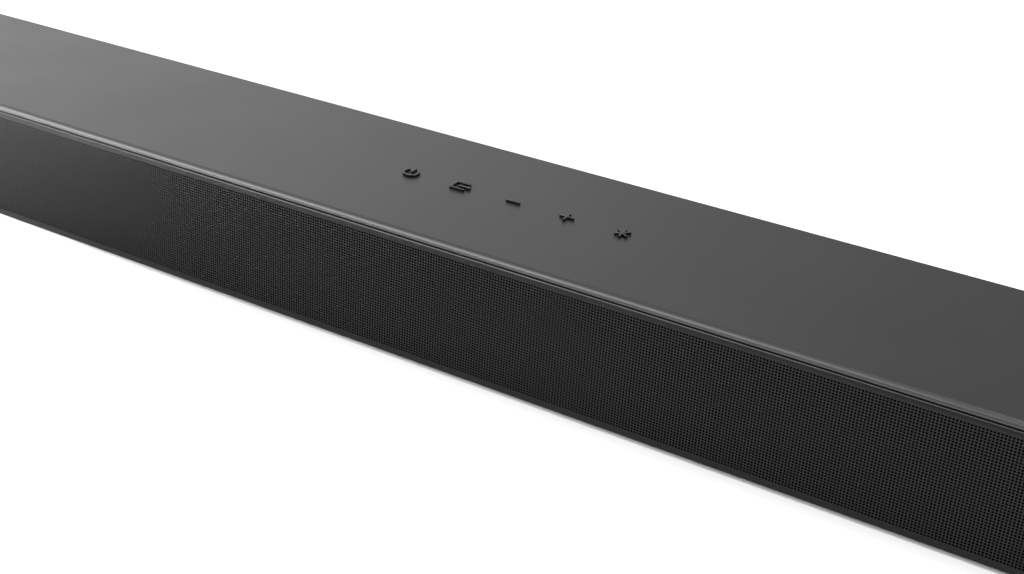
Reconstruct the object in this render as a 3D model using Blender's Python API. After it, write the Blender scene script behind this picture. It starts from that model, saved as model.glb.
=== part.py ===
"""A slim television soundbar, built as the assembly that comes apart on a bench.

Metres, +Z up. The bar is long in X, its grille faces -Y, and it stands on four rubber feet.
The origin is the centre of the footprint, on the surface that the feet stand on.
"""

import math

import bmesh
import bpy
from mathutils import Matrix, Vector

MM = 0.001

# Overall sizes
BAR_LENGTH = 850 * MM
BAR_DEPTH = 99 * MM
BAR_HEIGHT = 63 * MM  # floor to the flat of the top cover
FOOT_DROP = 1.6 * MM  # the feet hold the case this far off the floor
CORNER_R = 12 * MM  # upright corners, seen from above
FIT = 0.3 * MM  # gap between pieces that seat on each other

# Top cover
COVER_SKIRT = 2.8 * MM
COVER_ROUND = 2.4 * MM
COVER_WALL = 2.2 * MM
SHADOW_GAP = 0.6 * MM  # open line between the cover and what is under it
LIP_HEIGHT = 4.2 * MM
LIP_WALL = 1.5 * MM
LIP_PLAY = 0.5 * MM

# Grille, cloth and case
GRILLE_SHEET = 0.8 * MM
GRILLE_RETURN = 77 * MM  # how far the grille runs back along each end
CLOTH = 0.4 * MM
CASE_WALL = 2.2 * MM
CASE_FLOOR = 2.5 * MM
CASE_EDGE_ROUND = 1.0 * MM
WINDOW_RAIL = 4.0 * MM  # case left above and below the sound window
WINDOW_END = 17 * MM  # case left at each end of the sound window

# Keys on the top cover
KEY_PITCH = 25.75 * MM
KEY_ROW_Y = 0.5 * MM
KEY_RISE = 1.1 * MM  # icon above the cover
KEY_TRAVEL = 0.5 * MM
KEY_CLEARANCE = 0.2 * MM  # round each icon in the cover
KEY_STROKE = 0.95 * MM
KEY_FLANGE = 10.5 * MM
KEY_FLANGE_WALL = 1.0 * MM
KEY_STEM_R = 1.5 * MM
KEY_STEM = 2.0 * MM
SWITCH_SIDE = 6.0 * MM
SWITCH_HEIGHT = 3.5 * MM
PLUNGER_R = 1.75 * MM
PLUNGER_SHOWS = 1.2 * MM
PLUNGER_SUNK = 1.5 * MM
PLUNGER_PLAY = 0.15 * MM
KEY_BOARD_MARGIN = 9 * MM
KEY_BOARD_DEPTH = 16 * MM
BOARD = 1.2 * MM

# Baffle and the three racetrack drivers
BAFFLE = 3.0 * MM
DRIVER_PITCH = 330 * MM
CONE_TRAVEL = 2.0 * MM
FLANGE_SIZE = (112 * MM, 50 * MM)
FLANGE_WALL = 1.2 * MM
SURROUND_R = 1.8 * MM
CONE_SIZE = (88 * MM, 30 * MM)
CONE_GAP = 0.6 * MM  # cone edge to surround
CONE_WALL = 0.8 * MM
CONE_DEPTH = 15 * MM
BASKET_DEPTH = 26 * MM
BASKET_WALL = 1.5 * MM
BASKET_RIM = 5 * MM  # straight stretch of the bowl, round the surround
BASKET_SHOULDER = 0.2 * MM  # step from the straight stretch to the tapered one
BASKET_BACK = (46 * MM, 40 * MM)
COIL_R = 10.9 * MM
COIL_WALL = 0.8 * MM
COIL_LENGTH = 15 * MM
MAGNET_R = 20 * MM
MAGNET_DEPTH = 14 * MM
COIL_SLOT = 8 * MM
COIL_PLAY = 0.7 * MM
DUST_CAP_R = 10.9 * MM

# Boards and sockets
TRAY_X = (72 * MM, 252 * MM)
TRAY_Z = (7 * MM, 37 * MM)
TRAY_DEPTH = 19.5 * MM
TRAY_WALL = 2.0 * MM
BOARD_Z = 9.7 * MM
BOARD_RIB = 2.0 * MM
BOARD_FRONT = -36 * MM
POWER_BOARD_X = (64 * MM, 146 * MM)
MAIN_BOARD_X = (150 * MM, 262 * MM)
SOCKET_PROUD = 0.5 * MM

# Feet and screws
FOOT_SIZE = (60 * MM, 10 * MM)
FOOT_THICK = 3.0 * MM
FOOT_CORNER = 2.0 * MM
FOOT_AT = (340 * MM, 36 * MM)
SCREW_AT = (268 * MM, 33 * MM)
SCREW_HEAD_R = 2.8 * MM
SCREW_HEAD = 1.8 * MM
SCREW_SHANK_R = 1.2 * MM
SCREW_LENGTH = 14 * MM
SLOT_REACH = 1.5 * MM
SLOT_HALF = 0.3 * MM
SLOT_DEPTH = 0.8 * MM
HEAD_COVER = 4.0 * MM  # depth of the seat that the screw's head sits up in
BOSS_R = 4.2 * MM
SEAT_TOP = 12 * MM

# Places worked out from the sizes above
HALF_X = BAR_LENGTH / 2
HALF_Y = BAR_DEPTH / 2
FRONT = -HALF_Y
COVER_LOW = BAR_HEIGHT - COVER_SKIRT
COVER_UNDER = BAR_HEIGHT - COVER_WALL
BODY_TOP = COVER_LOW - SHADOW_GAP
BODY_LOW = FOOT_DROP
FLOOR_TOP = BODY_LOW + CASE_FLOOR
HEAD_SEAT = BODY_LOW + HEAD_COVER
REBATE = GRILLE_SHEET + FIT + CLOTH + FIT
CASE_INSIDE = REBATE + CASE_WALL
LIP_INSET = CASE_INSIDE + LIP_PLAY
BAFFLE_FRONT = FRONT + LIP_INSET + LIP_WALL + LIP_PLAY
GRILLE_END = FRONT + GRILLE_RETURN
FLANGE_LOW = COVER_UNDER - FIT - KEY_FLANGE_WALL
STEM_LOW = FLANGE_LOW - KEY_STEM
SWITCH_TOP = STEM_LOW - FIT - PLUNGER_SHOWS
KEY_BOARD_TOP = SWITCH_TOP - SWITCH_HEIGHT - FIT
DRIVER_Z = (FLOOR_TOP + COVER_UNDER - LIP_HEIGHT) / 2
SURROUND_HALF = CONE_SIZE[0] / 2 + CONE_GAP + SURROUND_R
OPENING = tuple(size + 2 * (CONE_GAP + 2 * SURROUND_R + FIT) for size in CONE_SIZE)
PANEL_BACK = HALF_Y - TRAY_DEPTH
BOARD_BACK = PANEL_BACK - TRAY_WALL - FIT
BOARD_TOP = BOARD_Z + BOARD


def clear_scene():
    for obj in list(bpy.data.objects):
        bpy.data.objects.remove(obj, do_unlink=True)


def new_collection(name, rendered=True):
    made = bpy.data.collections.new(name)
    bpy.context.scene.collection.children.link(made)
    made.hide_render = not rendered
    return made


def material(name, colour, roughness, metallic=0.0):
    made = bpy.data.materials.new(name)
    made.use_nodes = True
    shader = made.node_tree.nodes["Principled BSDF"]
    shader.inputs["Base Color"].default_value = (*colour, 1.0)
    shader.inputs["Roughness"].default_value = roughness
    shader.inputs["Metallic"].default_value = metallic
    made.diffuse_color = (*colour, 1.0)
    return made


clear_scene()
PARTS = new_collection("soundbar")
CUTTERS = new_collection("cutters", rendered=False)
ABS_BLACK = material("abs_satin", (0.035, 0.035, 0.037), 0.45)
ABS_INNER = material("abs_inner", (0.02, 0.02, 0.021), 0.6)
STEEL_BLACK = material("powder_coated_steel", (0.025, 0.025, 0.026), 0.5)
SCRIM = material("acoustic_cloth", (0.006, 0.006, 0.006), 0.95)
RUBBER = material("rubber", (0.015, 0.015, 0.015), 0.8)
PAPER = material("cone_paper", (0.02, 0.02, 0.02), 0.85)
STEEL = material("zinc_plated_steel", (0.55, 0.56, 0.58), 0.35, 1.0)
FERRITE = material("ferrite", (0.05, 0.05, 0.055), 0.7)
PCB = material("circuit_board", (0.01, 0.09, 0.035), 0.5)
SOCKET_STEEL = material("socket_shell", (0.6, 0.6, 0.62), 0.3, 1.0)
RESIN = material("component_resin", (0.02, 0.02, 0.02), 0.4)
WIRE = material("wire_sheath", (0.03, 0.03, 0.03), 0.5)


def finished(obj, look, smooth_below=math.radians(35)):
    """Gives a solid its material and shades its rounded stretches smooth."""
    obj.data.materials.append(look)
    obj.data.shade_smooth()
    obj.data.set_sharp_from_angle(angle=smooth_below)
    return obj


def object_from(name, bm, at, look=None):
    """A mesh object from a bmesh, as a part where it has a look and as a cutter where it has none."""
    bmesh.ops.recalc_face_normals(bm, faces=bm.faces)
    mesh = bpy.data.meshes.new(name)
    bm.to_mesh(mesh)
    bm.free()
    obj = bpy.data.objects.new(name, mesh)
    obj.location = at
    if look is None:
        CUTTERS.objects.link(obj)
        obj.hide_render = True
        obj.display_type = "WIRE"
        return obj
    PARTS.objects.link(obj)
    return finished(obj, look)


def edges_along(bm, axis):
    """The edges parallel to an axis, 0 for X, 1 for Y and 2 for Z."""
    found = []
    for edge in bm.edges:
        run = (edge.verts[0].co - edge.verts[1].co).normalized()
        if abs(run[axis]) > 0.999:
            found.append(edge)
    return found


def rim(bm, z):
    return [e for e in bm.edges if all(abs(v.co.z - z) < 1e-7 for v in e.verts)]


def block(
    name, low, high, look=None, corner=0.0, axis=2, segments=5, top_round=0.0, low_round=0.0,
    origin=None, back_scale=None,
):
    """A box between two corners. corner rounds its edges along axis, top_round and low_round
    round its upper and lower rims, and back_scale narrows its +Y end in X and Z."""
    low, high = Vector(low), Vector(high)
    centre, size = (low + high) / 2, high - low
    bm = bmesh.new()
    bmesh.ops.create_cube(bm, size=1.0)
    bmesh.ops.scale(bm, vec=size, verts=bm.verts)
    if corner:
        bmesh.ops.bevel(
            bm, geom=edges_along(bm, axis), offset=corner, offset_type="OFFSET",
            segments=segments, profile=0.5, affect="EDGES", clamp_overlap=True,
        )
    for radius, z in ((top_round, size.z / 2), (low_round, -size.z / 2)):
        if radius:
            bmesh.ops.bevel(
                bm, geom=rim(bm, z), offset=radius, offset_type="OFFSET",
                segments=4, profile=0.5, affect="EDGES", clamp_overlap=True,
            )
    if back_scale:
        back = [v for v in bm.verts if v.co.y > size.y / 2 - 1e-7]
        bmesh.ops.scale(bm, vec=(back_scale[0], 1.0, back_scale[1]), verts=back)
    at = Vector(origin) if origin is not None else centre
    bmesh.ops.translate(bm, vec=centre - at, verts=bm.verts)
    return object_from(name, bm, at, look)


def cylinder(name, radius, start, end, look=None, segments=20, origin=None, end_radius=None):
    """A cylinder between two points, or a cone where end_radius is given."""
    start, end = Vector(start), Vector(end)
    bm = bmesh.new()
    bmesh.ops.create_cone(
        bm, cap_ends=True, cap_tris=False, segments=segments, radius1=radius,
        radius2=radius if end_radius is None else end_radius, depth=(end - start).length,
    )
    turn = (end - start).to_track_quat("Z", "Y").to_matrix().to_4x4()
    at = Vector(origin) if origin is not None else (start + end) / 2
    bmesh.ops.transform(bm, matrix=Matrix.Translation((start + end) / 2 - at) @ turn, verts=bm.verts)
    return object_from(name, bm, at, look)


def outline_plate(name, points, low, high, at):
    """A flat outline in X and Y, filled and extruded between two heights, as a closed mesh."""
    curve = bpy.data.curves.new(name, "CURVE")
    curve.dimensions = "2D"
    curve.fill_mode = "BOTH"
    curve.extrude = (high - low) / 2
    spline = curve.splines.new("POLY")
    spline.points.add(len(points) - 1)
    for point, (x, y) in zip(spline.points, points):
        point.co = (x, y, 0.0, 1.0)
    spline.use_cyclic_u = True
    guide = bpy.data.objects.new(name + "_outline", curve)
    bpy.context.scene.collection.objects.link(guide)
    bpy.context.view_layer.update()
    mesh = bpy.data.meshes.new_from_object(guide.evaluated_get(bpy.context.evaluated_depsgraph_get()))
    bpy.data.objects.remove(guide, do_unlink=True)
    bm = bmesh.new()
    bm.from_mesh(mesh)
    bmesh.ops.remove_doubles(bm, verts=bm.verts, dist=1e-6)
    bmesh.ops.translate(bm, vec=(0.0, 0.0, (low + high) / 2), verts=bm.verts)
    return object_from(name, bm, at)


def boolean(obj, tool, operation):
    step = obj.modifiers.new(operation.lower() + "_" + tool.name, "BOOLEAN")
    step.operation = operation
    step.solver = "EXACT"
    step.object = tool
    return obj


def cut(obj, *tools):
    for tool in tools:
        boolean(obj, tool, "DIFFERENCE")
    return obj


def join(obj, *tools):
    for tool in tools:
        boolean(obj, tool, "UNION")
    return obj


def plan_block(name, inset, low, high, look=None, y_end=None, grow=0.0, **rounds):
    """The bar's own plan, drawn in by inset, between two heights. y_end cuts it off behind."""
    sx, sy = HALF_X - inset + grow, HALF_Y - inset + grow
    radius = CORNER_R - inset + grow
    made = block(name, (-sx, -sy, low), (sx, sy, high), look, corner=radius, segments=6, **rounds)
    if y_end is not None:
        cut(made, block(name + "_trim", (-2 * sx, y_end, low - 1), (2 * sx, 1.0, high + 1)))
    return made


# Icons: each is a list of strokes, drawn round the key's centre, +Y away from the listener.
# A stroke grows by the same amount on every side, so the cover's opening is the icon plus a gap.


def bar_stroke(start, end, grow, width=KEY_STROKE):
    start, end = Vector(start), Vector(end)
    along = (end - start).normalized()
    side = Vector((-along.y, along.x)) * (width / 2 + grow)
    tip = along * grow
    return [start - tip - side, end + tip - side, end + tip + side, start - tip + side]


def arc_stroke(radius, first, last, grow, steps=16):
    """A band on a circle round the centre, between two angles in degrees."""
    inner, outer = radius - KEY_STROKE / 2 - grow, radius + KEY_STROKE / 2 + grow
    spare = math.degrees(grow / radius)
    turns = [math.radians(first - spare + (last - first + 2 * spare) * i / steps) for i in range(steps + 1)]
    ring = [(outer * math.cos(a), outer * math.sin(a)) for a in turns]
    return ring + [(inner * math.cos(a), inner * math.sin(a)) for a in reversed(turns)]


def power_icon(grow):
    ring_r = 3.45 * MM
    gap = 38  # degrees each side of the bar
    bar = bar_stroke((0, 0.4 * MM), (0, 4.1 * MM), grow)
    return [arc_stroke(ring_r, 90 + gap, 450 - gap, grow), bar]


def source_icon(grow):
    """A frame that is open to the right, with an arrow that comes out of it."""
    left, right, low, high = -4.3 * MM, 2.9 * MM, -3.1 * MM, 3.9 * MM
    inner_l, inner_b, inner_t = left + KEY_STROKE + grow, low + KEY_STROKE + grow, high - KEY_STROKE - grow
    right, low, high, left = right + grow, low - grow, high + grow, left - grow
    frame = [
        (right, inner_b), (inner_l, inner_b), (inner_l, inner_t), (right, inner_t),
        (right, high), (left, high), (left, low), (right, low),
    ]
    arrow_y, tip, head = 0.4 * MM, 4.6 * MM, 1.5 * MM
    base, reach = tip - head, head + grow * (1 + math.sqrt(2))
    shaft = bar_stroke((-1.4 * MM, arrow_y), (base, arrow_y), grow)
    point = tip + grow * math.sqrt(2)
    arrow = [(base - grow, arrow_y - reach), (point, arrow_y), (base - grow, arrow_y + reach)]
    return [frame, shaft, arrow]


def minus_icon(grow):
    return [bar_stroke((-3.3 * MM, 0), (3.3 * MM, 0), grow)]


def plus_icon(grow):
    return minus_icon(grow) + [bar_stroke((0, -3.3 * MM), (0, 3.3 * MM), grow)]


def pairing_icon(grow):
    """A six-armed star, which stands for wireless pairing."""
    arm = 3.6 * MM
    angles = [math.radians(a) for a in (40, 90, 140)]
    tips = [(arm * math.cos(a), arm * math.sin(a)) for a in angles]
    return [bar_stroke((-x, -y), (x, y), grow) for x, y in tips]


KEYS = [
    ("power", power_icon),
    ("source", source_icon),
    ("volume_down", minus_icon),
    ("volume_up", plus_icon),
    ("pairing", pairing_icon),
]
KEY_X = [(i - (len(KEYS) - 1) / 2) * KEY_PITCH for i in range(len(KEYS))]


def key_origin(x):
    return Vector((x, KEY_ROW_Y, BAR_HEIGHT))


def make_top_cover():
    cover = plan_block("top_cover", 0.0, COVER_LOW, BAR_HEIGHT, ABS_BLACK, top_round=COVER_ROUND)
    join(cover, plan_block("lip_outer", LIP_INSET, COVER_UNDER - LIP_HEIGHT, COVER_UNDER + COVER_WALL / 2))
    lip_inside = LIP_INSET + LIP_WALL
    cut(cover, plan_block("lip_inner", lip_inside, COVER_UNDER - 2 * LIP_HEIGHT, COVER_UNDER))
    for sx in (-1, 1):
        for sy in (-1, 1):
            x, y = sx * SCREW_AT[0], sy * SCREW_AT[1]
            tag = f"boss_{'r' if sx > 0 else 'l'}{'b' if sy > 0 else 'f'}"
            low = SEAT_TOP + FIT
            join(cover, cylinder(tag, BOSS_R, (x, y, low), (x, y, COVER_UNDER + COVER_WALL / 2)))
            pilot = SCREW_SHANK_R + FIT
            cut(cover, cylinder(tag + "_pilot", pilot, (x, y, low - 1 * MM), (x, y, low + SCREW_LENGTH)))
    for (name, icon), x in zip(KEYS, KEY_X):
        for n, stroke in enumerate(icon(KEY_CLEARANCE)):
            tool = outline_plate(f"{name}_slot_{n}", stroke, -2 * COVER_WALL, COVER_WALL, key_origin(x))
            cut(cover, tool)
    return cover


def make_key(name, icon, x):
    """Icon, flange under the cover and stem, in one moulding. Its origin is on the press axis."""
    origin = key_origin(x)
    half = KEY_FLANGE / 2
    flange_top = FLANGE_LOW + KEY_FLANGE_WALL
    low, high = (x - half, KEY_ROW_Y - half, FLANGE_LOW), (x + half, KEY_ROW_Y + half, flange_top)
    key = block(name + "_button", low, high, ABS_BLACK, corner=1.5 * MM, segments=3, origin=origin)
    for n, stroke in enumerate(icon(0.0)):
        foot = FLANGE_LOW + KEY_FLANGE_WALL / 2 - BAR_HEIGHT
        join(key, outline_plate(f"{name}_icon_{n}", stroke, foot, KEY_RISE, origin))
    stem_top = (x, KEY_ROW_Y, FLANGE_LOW + KEY_FLANGE_WALL / 2)
    join(key, cylinder(name + "_stem", KEY_STEM_R, (x, KEY_ROW_Y, STEM_LOW), stem_top, segments=12))
    return key


def make_switch(name, x):
    half = SWITCH_SIDE / 2
    y = KEY_ROW_Y
    low = (x - half, y - half, SWITCH_TOP - SWITCH_HEIGHT)
    body = block(name + "_switch", low, (x + half, y + half, SWITCH_TOP), RESIN)
    well_r, well_low = PLUNGER_R + PLUNGER_PLAY, SWITCH_TOP - PLUNGER_SUNK - KEY_TRAVEL - FIT
    cut(body, cylinder(name + "_well", well_r, (x, y, well_low), (x, y, SWITCH_TOP + MM), segments=16))
    top = SWITCH_TOP + PLUNGER_SHOWS
    cylinder(
        name + "_plunger", PLUNGER_R, (x, y, SWITCH_TOP - PLUNGER_SUNK), (x, y, top), RUBBER,
        segments=16, origin=key_origin(x),
    )


def make_key_board():
    half = KEY_X[-1] + KEY_BOARD_MARGIN
    low = (-half, KEY_ROW_Y - KEY_BOARD_DEPTH / 2, KEY_BOARD_TOP - BOARD)
    high = (half, KEY_ROW_Y + KEY_BOARD_DEPTH / 2, KEY_BOARD_TOP)
    return block("key_board", low, high, PCB)


def make_grille():
    grille = plan_block("front_grille", 0.0, BODY_LOW, BODY_TOP, STEEL_BLACK, y_end=GRILLE_END)
    cut(grille, plan_block("grille_inside", GRILLE_SHEET, BODY_LOW - MM, BODY_TOP + MM))
    return grille


def make_cloth():
    outer, rail = GRILLE_SHEET + FIT, WINDOW_RAIL / 2
    low, high = BODY_LOW + rail, BODY_TOP - rail
    end = GRILLE_END - WINDOW_RAIL
    cloth = plan_block("grille_cloth", outer, low, high, SCRIM, y_end=end)
    cut(cloth, plan_block("cloth_inside", outer + CLOTH, low - MM, high + MM))
    return cloth


def make_case():
    case = plan_block("bottom_case", 0.0, BODY_LOW, BODY_TOP, ABS_BLACK, low_round=CASE_EDGE_ROUND)
    rebate = plan_block("rebate", 0.0, BODY_LOW - MM, BODY_TOP + MM, y_end=GRILLE_END + FIT, grow=2 * MM)
    cut(rebate, plan_block("rebate_core", REBATE, BODY_LOW - 2 * MM, BODY_TOP + 2 * MM))
    cut(case, rebate)
    cut(case, plan_block("case_inside", CASE_INSIDE, FLOOR_TOP, BODY_TOP + MM))
    window_x = HALF_X - WINDOW_END
    window_low, window_high = BODY_LOW + WINDOW_RAIL + MM, BODY_TOP - WINDOW_RAIL
    window_back = FRONT + CASE_INSIDE + MM
    low, high = (-window_x, FRONT - MM, window_low), (window_x, window_back, window_high)
    cut(case, block("sound_window", low, high))
    low = (TRAY_X[0] - FIT, HALF_Y - 2 * CASE_INSIDE, TRAY_Z[0] - FIT)
    cut(case, block("tray_hole", low, (TRAY_X[1] + FIT, HALF_Y + MM, TRAY_Z[1] + FIT)))
    for sx in (-1, 1):
        for sy in (-1, 1):
            tag = f"{'r' if sx > 0 else 'l'}{'b' if sy > 0 else 'f'}"
            x, y = sx * FOOT_AT[0], sy * FOOT_AT[1]
            hx, hy = FOOT_SIZE[0] / 2 + FIT, FOOT_SIZE[1] / 2 + FIT
            low, high = (x - hx, y - hy, 0), (x + hx, y + hy, FOOT_THICK + FIT)
            cut(case, block("foot_pocket_" + tag, low, high, corner=FOOT_CORNER, segments=3))
            x, y = sx * SCREW_AT[0], sy * SCREW_AT[1]
            join(case, cylinder("seat_" + tag, BOSS_R, (x, y, BODY_LOW + MM), (x, y, SEAT_TOP)))
            head_r, shank_r = SCREW_HEAD_R + 2 * FIT, SCREW_SHANK_R + 2 * FIT
            cut(case, cylinder("seat_head_" + tag, head_r, (x, y, 0), (x, y, HEAD_SEAT)))
            cut(case, cylinder("seat_hole_" + tag, shank_r, (x, y, 0), (x, y, SEAT_TOP + MM)))
    for n, board_x in enumerate((POWER_BOARD_X, MAIN_BOARD_X)):
        for side, x in enumerate((board_x[0] + 6 * MM, board_x[1] - 6 * MM)):
            low = (x - BOARD_RIB / 2, BOARD_FRONT + 4 * MM, FLOOR_TOP - MM)
            high = (x + BOARD_RIB / 2, BOARD_BACK - 12 * MM, BOARD_Z - FIT)
            join(case, block(f"board_rib_{n}_{side}", low, high))
    return case


def make_feet_and_screws():
    for sx, side in ((-1, "left"), (1, "right")):
        for sy, end in ((-1, "front"), (1, "rear")):
            x, y = sx * FOOT_AT[0], sy * FOOT_AT[1]
            hx, hy = FOOT_SIZE[0] / 2, FOOT_SIZE[1] / 2
            low, high = (x - hx, y - hy, 0), (x + hx, y + hy, FOOT_THICK)
            block(f"foot_{end}_{side}", low, high, RUBBER, corner=FOOT_CORNER, segments=3)
            make_screw(f"case_screw_{end}_{side}", sx * SCREW_AT[0], sy * SCREW_AT[1])


def make_screw(name, x, y):
    """A cross-head screw that comes up through the case floor into the cover's boss."""
    top = HEAD_SEAT - FIT
    low = top - SCREW_HEAD
    screw = cylinder(name, SCREW_HEAD_R, (x, y, low), (x, y, top), STEEL, segments=16)
    shank_top = (x, y, top + SCREW_LENGTH)
    join(screw, cylinder(name + "_shank", SCREW_SHANK_R, (x, y, top - MM), shank_top, segments=10))
    for n, (rx, ry) in enumerate(((SLOT_REACH, SLOT_HALF), (SLOT_HALF, SLOT_REACH))):
        cut(screw, block(f"{name}_slot_{n}", (x - rx, y - ry, 0), (x + rx, y + ry, low + SLOT_DEPTH)))


def racetrack(name, width, height, y0, y1, at, look=None, back=None, segments=6):
    """A stadium-shaped block in X and Z between two depths behind the driver's front plane."""
    low = at + Vector((-width / 2, y0, -height / 2))
    high = at + Vector((width / 2, y1, height / 2))
    scale = (back[0] / width, back[1] / height) if back else None
    corner = height / 2 * 0.98
    return block(name, low, high, look, corner=corner, axis=1, segments=segments, origin=at, back_scale=scale)


def behind(at, depth):
    return at + Vector((0, depth, 0))


def make_driver(side, x):
    """One racetrack full-range driver. Its origin is on its axis, at the baffle's front face."""
    at = Vector((x, BAFFLE_FRONT, DRIVER_Z))
    name = f"driver_{side}"
    flange_back = -FIT
    flange_front = flange_back - FLANGE_WALL

    basket = racetrack(name + "_basket", *FLANGE_SIZE, flange_front, flange_back, at, STEEL_BLACK)
    outer = [size + 2 * BASKET_WALL for size in OPENING]
    tapered = [size - 2 * BASKET_SHOULDER for size in outer]
    rim_start, rim_end = flange_back - FLANGE_WALL / 2, BASKET_RIM + BASKET_WALL
    join(basket, racetrack(name + "_rim", *outer, rim_start, rim_end, at))
    join(basket, racetrack(name + "_bowl", *tapered, rim_end - MM, BASKET_DEPTH, at, back=BASKET_BACK))
    bowl_back = (BASKET_BACK[0] - 2 * BASKET_WALL, BASKET_BACK[1] - 2 * BASKET_WALL)
    bowl_end = BASKET_DEPTH - BASKET_WALL
    cut(basket, racetrack(name + "_mouth", *OPENING, flange_front - MM, BASKET_RIM, at))
    hollow = [size - 2 * BASKET_SHOULDER for size in OPENING]
    cut(basket, racetrack(name + "_hollow", *hollow, BASKET_RIM - MM, bowl_end, at, back=bowl_back))
    coil_hole = COIL_R + COIL_PLAY + MM
    start, end = behind(at, BASKET_DEPTH - 4 * MM), behind(at, BASKET_DEPTH + MM)
    cut(basket, cylinder(name + "_neck", coil_hole, start, end))
    vent_low, vent_high = 14 * MM, BASKET_DEPTH - 4 * MM
    vent = 9 * MM
    low = at + Vector((-vent, vent_low, -OPENING[1]))
    cut(basket, block(name + "_vent", low, at + Vector((vent, vent_high, OPENING[1]))))

    magnet_front = BASKET_DEPTH + FIT
    start, end = behind(at, magnet_front), behind(at, magnet_front + MAGNET_DEPTH)
    magnet = cylinder(name + "_magnet", MAGNET_R, start, end, FERRITE, segments=28, origin=at)
    slot_start, slot_end = behind(at, magnet_front - MM), behind(at, magnet_front + COIL_SLOT)
    slot = cylinder(name + "_slot", COIL_R + COIL_PLAY, slot_start, slot_end, segments=24)
    core_r = COIL_R - COIL_WALL - COIL_PLAY
    core_end = behind(at, magnet_front + COIL_SLOT + MM)
    cut(slot, cylinder(name + "_core", core_r, behind(at, magnet_front - 2 * MM), core_end, segments=24))
    cut(magnet, slot)

    neck = 2 * COIL_R
    cone = racetrack(name + "_cone", *CONE_SIZE, MM, CONE_DEPTH + MM, at, PAPER, back=(neck, neck))
    coil_start, coil_end = behind(at, CONE_DEPTH), behind(at, CONE_DEPTH + COIL_LENGTH)
    join(cone, cylinder(name + "_former", COIL_R - 0.05 * MM, coil_start, coil_end, segments=24))
    dish = [size - 2 * CONE_WALL for size in CONE_SIZE]
    dish_back = neck - 2 * CONE_WALL
    cut(cone, racetrack(name + "_dish", *dish, 0.0, CONE_DEPTH + 0.2 * MM, at, back=(dish_back, dish_back)))
    coil_start, coil_end = behind(coil_start, -2 * MM), behind(coil_end, MM)
    cut(cone, cylinder(name + "_bore", COIL_R - COIL_WALL, coil_start, coil_end, segments=24))

    bm = bmesh.new()
    bmesh.ops.create_uvsphere(bm, u_segments=20, v_segments=10, radius=DUST_CAP_R)
    bmesh.ops.scale(bm, vec=(1.0, 0.5, 1.0), verts=bm.verts)
    whole = bm.verts[:] + bm.edges[:] + bm.faces[:]
    plane = {"plane_co": (0, -0.2 * MM, 0), "plane_no": (0, 1, 0)}
    bmesh.ops.bisect_plane(bm, geom=whole, clear_outer=True, **plane)
    bmesh.ops.holes_fill(bm, edges=[e for e in bm.edges if e.is_boundary])
    cap_at = CONE_DEPTH - 4 * MM
    bmesh.ops.translate(bm, vec=(0, cap_at, 0), verts=bm.verts)
    object_from(name + "_dust_cap", bm, at, PAPER)
    make_surround(name + "_surround", at)


def make_surround(name, at):
    """The rubber roll between cone and flange: a round section along the racetrack."""
    across = CONE_SIZE[1] / 2 + CONE_GAP + SURROUND_R
    straight = SURROUND_HALF - across
    steps = 7
    path = []
    for centre_x, first in ((straight, -90), (-straight, 90)):
        for i in range(steps + 1):
            a = math.radians(first + 180 * i / steps)
            path.append((centre_x + across * math.cos(a), across * math.sin(a)))
    curve = bpy.data.curves.new(name, "CURVE")
    curve.dimensions = "3D"
    curve.bevel_depth = SURROUND_R
    curve.bevel_resolution = 1
    spline = curve.splines.new("POLY")
    spline.points.add(len(path) - 1)
    for point, (px, pz) in zip(spline.points, path):
        point.co = (px, 0.0, pz, 1.0)
    spline.use_cyclic_u = True
    obj = bpy.data.objects.new(name, curve)
    obj.location = at
    curve.materials.append(RUBBER)
    PARTS.objects.link(obj)


def make_baffle(drivers):
    half = HALF_X - CORNER_R - FIT
    top = COVER_UNDER - FIT
    low, high = (-half, BAFFLE_FRONT, FLOOR_TOP + FIT), (half, BAFFLE_FRONT + BAFFLE, top)
    baffle = block("front_baffle", low, high, ABS_INNER)
    hole = [size + 2 * (BASKET_WALL + FIT) for size in OPENING]
    for side, x in drivers:
        at = Vector((x, BAFFLE_FRONT, DRIVER_Z))
        cut(baffle, racetrack(f"{side}_hole", *hole, -MM, BAFFLE + MM, at))
    return baffle


def make_tray():
    """The recess at the back that holds the sockets."""
    low = (TRAY_X[0], PANEL_BACK - TRAY_WALL, TRAY_Z[0])
    tray = block("jack_panel", low, (TRAY_X[1], HALF_Y, TRAY_Z[1]), ABS_INNER)
    low = (TRAY_X[0] + TRAY_WALL, PANEL_BACK, TRAY_Z[0] + TRAY_WALL)
    cut(tray, block("tray_inside", low, (TRAY_X[1] - TRAY_WALL, HALF_Y + MM, TRAY_Z[1] - TRAY_WALL)))
    for name, x, width, height, _ in SOCKETS:
        hx = width / 2 + FIT
        base = BOARD_TOP + FIT
        low, high = (x - hx, PANEL_BACK - 3 * MM, base - FIT), (x + hx, PANEL_BACK + MM, base + height + FIT)
        cut(tray, block(name + "_window", low, high))
    return tray


# name, centre in X, width, height, length of the shell
SOCKETS = [
    ("power_inlet", 92 * MM, 24 * MM, 14 * MM, 19 * MM),
    ("optical_socket", 168 * MM, 9.8 * MM, 9.8 * MM, 14 * MM),
    ("video_socket", 198 * MM, 15.2 * MM, 6.4 * MM, 11 * MM),
    ("data_socket", 230 * MM, 13.4 * MM, 6.8 * MM, 13 * MM),
]


def socket_shell(name, look):
    """The closed block of a socket, and its centre at the mouth."""
    _, x, width, height, length = next(s for s in SOCKETS if s[0] == name)
    mouth = PANEL_BACK + SOCKET_PROUD
    base = BOARD_TOP + FIT
    low, high = (x - width / 2, mouth - length, base), (x + width / 2, mouth, base + height)
    return block(name, low, high, look), Vector((x, mouth, base + height / 2))


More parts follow.
